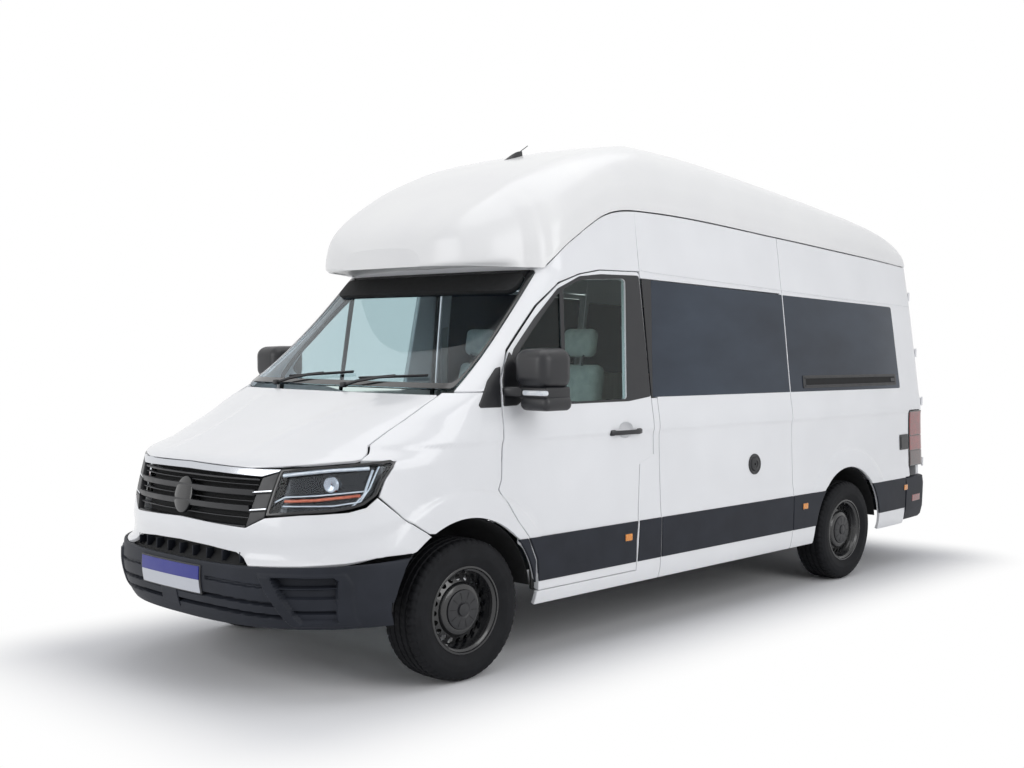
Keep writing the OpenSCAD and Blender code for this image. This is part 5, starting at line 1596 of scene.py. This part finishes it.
rim_profile = rounded([(-100, 206), (-100, 218), (-94, 220), (-88, 212), (-84, 200), (-60, 196),
                       (-20, 178), (30, 178), (60, 190), (84, 200), (88, 212),
                       (94, 220), (101, 218), (102, 207), (92, 205), (84, 192), (60, 184), (34, 172),
                       (-20, 172), (-60, 188)][::-1], 3, 3)
rim = turned(rim_profile, (0, 0, 0), 96)
inner_disc = turned(rounded([(30, 60), (58, 62), (68, 84), (70, 104), (64, 124), (48, 136), (44, 136),
                             (58, 120), (63, 104), (61, 88), (52, 68), (30, 66)][::-1], 3, 3),
                             (0, 0, 0), 96)
vents = vent_band(134, 47, 178, 24)
cap_profile = [(70, 100), (76, 97), (79, 88), (80, 60), (81, 42), (78, 38), (78, 32), (84, 30),
               (86, 24), (87, 1.5), (60, 1.5), (60, 98)]
cap = turned(cap_profile[::-1], (0, 0, 0), 96)
slits = []
for k in range(10):
    blade = block((79.6, -1.2, 48), (80.9, 1.2, 88), 0.5, 2)
    slits.append(moved(blade, turn=36 * k + 12, axis=0))
valve = sweep([(70, 0, 183), (84, 0, 187), (96, 0, 189)], circle(4, 8))

front_half_track, rear_half_track = 879, 874
wheels = {"front_left": (1, front_axle, front_half_track, "fl"),
          "front_right": (-1, front_axle, front_half_track, "fr"),
          "rear_left": (1, rear_axle, rear_half_track, "rl"),
          "rear_right": (-1, rear_axle, rear_half_track, "rr")}
for name, (sign, yc, xc, short) in wheels.items():
    flip, hub = same if sign > 0 else mirrored, (xc, yc, wheel_z)
    body = "road_wheel_" + short
    piece("tyre_" + name + "_rubber", flip(moved(tyre_shape(), hub)), rubber, body,
          stands_for=["tyre_" + name])
    piece("wheel_" + name + "_steel", flip(moved(together(rim, inner_disc, vents, valve), hub)),
          wheel_enamel, body, stands_for=["wheel_" + name])
    piece("wheel_" + name + "_cap", flip(moved(cap, hub)), satin_black, body)
    piece("wheel_" + name + "_slits", flip(moved(together(*slits), hub)), liner_black, body)
    drum = turned([(-60, 4), (-60, 130), (20, 130), (20, 4)][::-1], (0, 0, 0), 48)
    piece("brake_" + name, flip(moved(drum, hub)), cast_iron, body)

# %% [markdown]
# ## Camera, floor and light
# The camera stands at about eye height, off the front left corner, with a
# slightly long lens that is shifted a little to one side. The floor is a pale sheet; a wide soft
# lamp above and two weaker ones at the sides light the van evenly.

# %% Camera
az, pitch, roll = math.radians(39.54), math.radians(4.14), math.radians(0.48)
camera = bpy.data.objects.new("camera", bpy.data.cameras.new("camera"))
bpy.context.collection.objects.link(camera)
ahead = Vector((-math.sin(az) * math.cos(pitch), math.cos(az) * math.cos(pitch), -math.sin(pitch)))
camera.rotation_mode = "QUATERNION"
camera.rotation_quaternion = Quaternion(ahead, -roll) @ ahead.to_track_quat("-Z", "Y")
camera.location = (5.39, -6.013, 1.631)
camera.data.lens = 43.083984375       # millimetres, for a picture 36 wide
camera.data.shift_x = -0.1251953125    # in picture widths
camera.data.shift_y = 0.05263671875
bpy.context.scene.camera = camera
print("camera height", camera.location.z, "m, lens", round(camera.data.lens, 1), "mm")

# %% [markdown]
# Camera, glossy and transmitted rays see a white world; all other rays see
# a weaker grey-blue one that only fills the shadows. The floor is pale near
# the van, where it catches the shadow, and turns white away from it.

# %% Floor, world and lamps
def clear_rays(tree):
    """1 for camera, glossy and transmission rays, else 0."""
    path = add(tree, "LightPath")
    seen = add(tree, "Math", {0: path.outputs["Is Camera Ray"], 1: path.outputs["Is Glossy Ray"]},
               operation="MAXIMUM")
    return add(tree, "Math", {0: seen.outputs[0], 1: path.outputs["Is Transmission Ray"]},
               operation="MAXIMUM").outputs[0]

bpy.context.scene.view_settings.view_transform = "Standard"
world = bpy.data.worlds.new("studio")
bpy.context.scene.world = world
world.use_nodes = True
tree = world.node_tree
tree.nodes.clear()
soft = add(tree, "Background", {"Color": (0.93, 0.95, 1.0, 1.0), "Strength": 0.44})
white = add(tree, "Background", {"Color": (1.0, 1.0, 1.0, 1.0), "Strength": 1.0})
mix = add(tree, "MixShader", {0: clear_rays(tree), 1: soft.outputs[0], 2: white.outputs[0]})
end = add(tree, "OutputWorld")
tree.links.new(mix.outputs[0], end.inputs["Surface"])

floor_mat, tree, shader = finish("white studio floor", "#f6f6f7", 0.8, Specular_IOR_Level=0.1)
place = add(tree, "TexCoord")
away = add(tree, "VectorMath", {0: place.outputs["Object"]}, operation="ABSOLUTE")
away = add(tree, "VectorMath", {0: away.outputs[0], 1: (0.95, 2.9, 0.0)}, operation="SUBTRACT")
away = add(tree, "VectorMath", {0: away.outputs[0], 1: (0.0, 0.0, 0.0)}, operation="MAXIMUM")
reach = add(tree, "VectorMath", {0: away.outputs[0]}, operation="LENGTH")
far = add(tree, "MapRange", {"Value": reach.outputs["Value"], "From Min": 0.05, "From Max": 0.85,
                             "To Min": 0.0, "To Max": 1.0}, interpolation_type="SMOOTHSTEP")
far = add(tree, "Math", {0: far.outputs["Result"], 1: clear_rays(tree)}, operation="MULTIPLY")
glow = add(tree, "Emission", {"Color": (1.0, 1.0, 1.0, 1.0), "Strength": 1.0})
mix = add(tree, "MixShader", {0: far.outputs[0], 1: shader.outputs[0], 2: glow.outputs[0]})
tree.links.new(mix.outputs[0], tree.nodes["Material Output"].inputs["Surface"])
mesh = bpy.data.meshes.new("floor")
mesh.from_pydata([(-40, -40, 0), (40, -40, 0), (40, 40, 0), (-40, 40, 0)], [], [(0, 1, 2, 3)])
mesh.materials.append(floor_mat)
floor = bpy.data.objects.new("floor", mesh)
bpy.context.collection.objects.link(floor)

def lamp(name, location, target, size, power, colour=(1, 1, 1)):
    """Square area lamp of a size in metres, aimed at a point."""
    data = bpy.data.lights.new(name, "AREA")
    data.size, data.energy, data.color = size, power, colour
    made = bpy.data.objects.new(name, data)
    made.location = location
    made.rotation_euler = (Vector(target) - Vector(location)).to_track_quat("-Z", "Y").to_euler()
    bpy.context.collection.objects.link(made)

lamp("over", (0.5, -0.5, 8.0), (0, 0, 0), 7.0, 165)
lamp("left side", (8.0, -1.0, 4.5), (0, 0, 1.4), 5.0, 205)
lamp("front", (-1.5, -9.5, 4.0), (0, 0, 1.2), 5.0, 195)
print("lamps", len(bpy.data.lights))
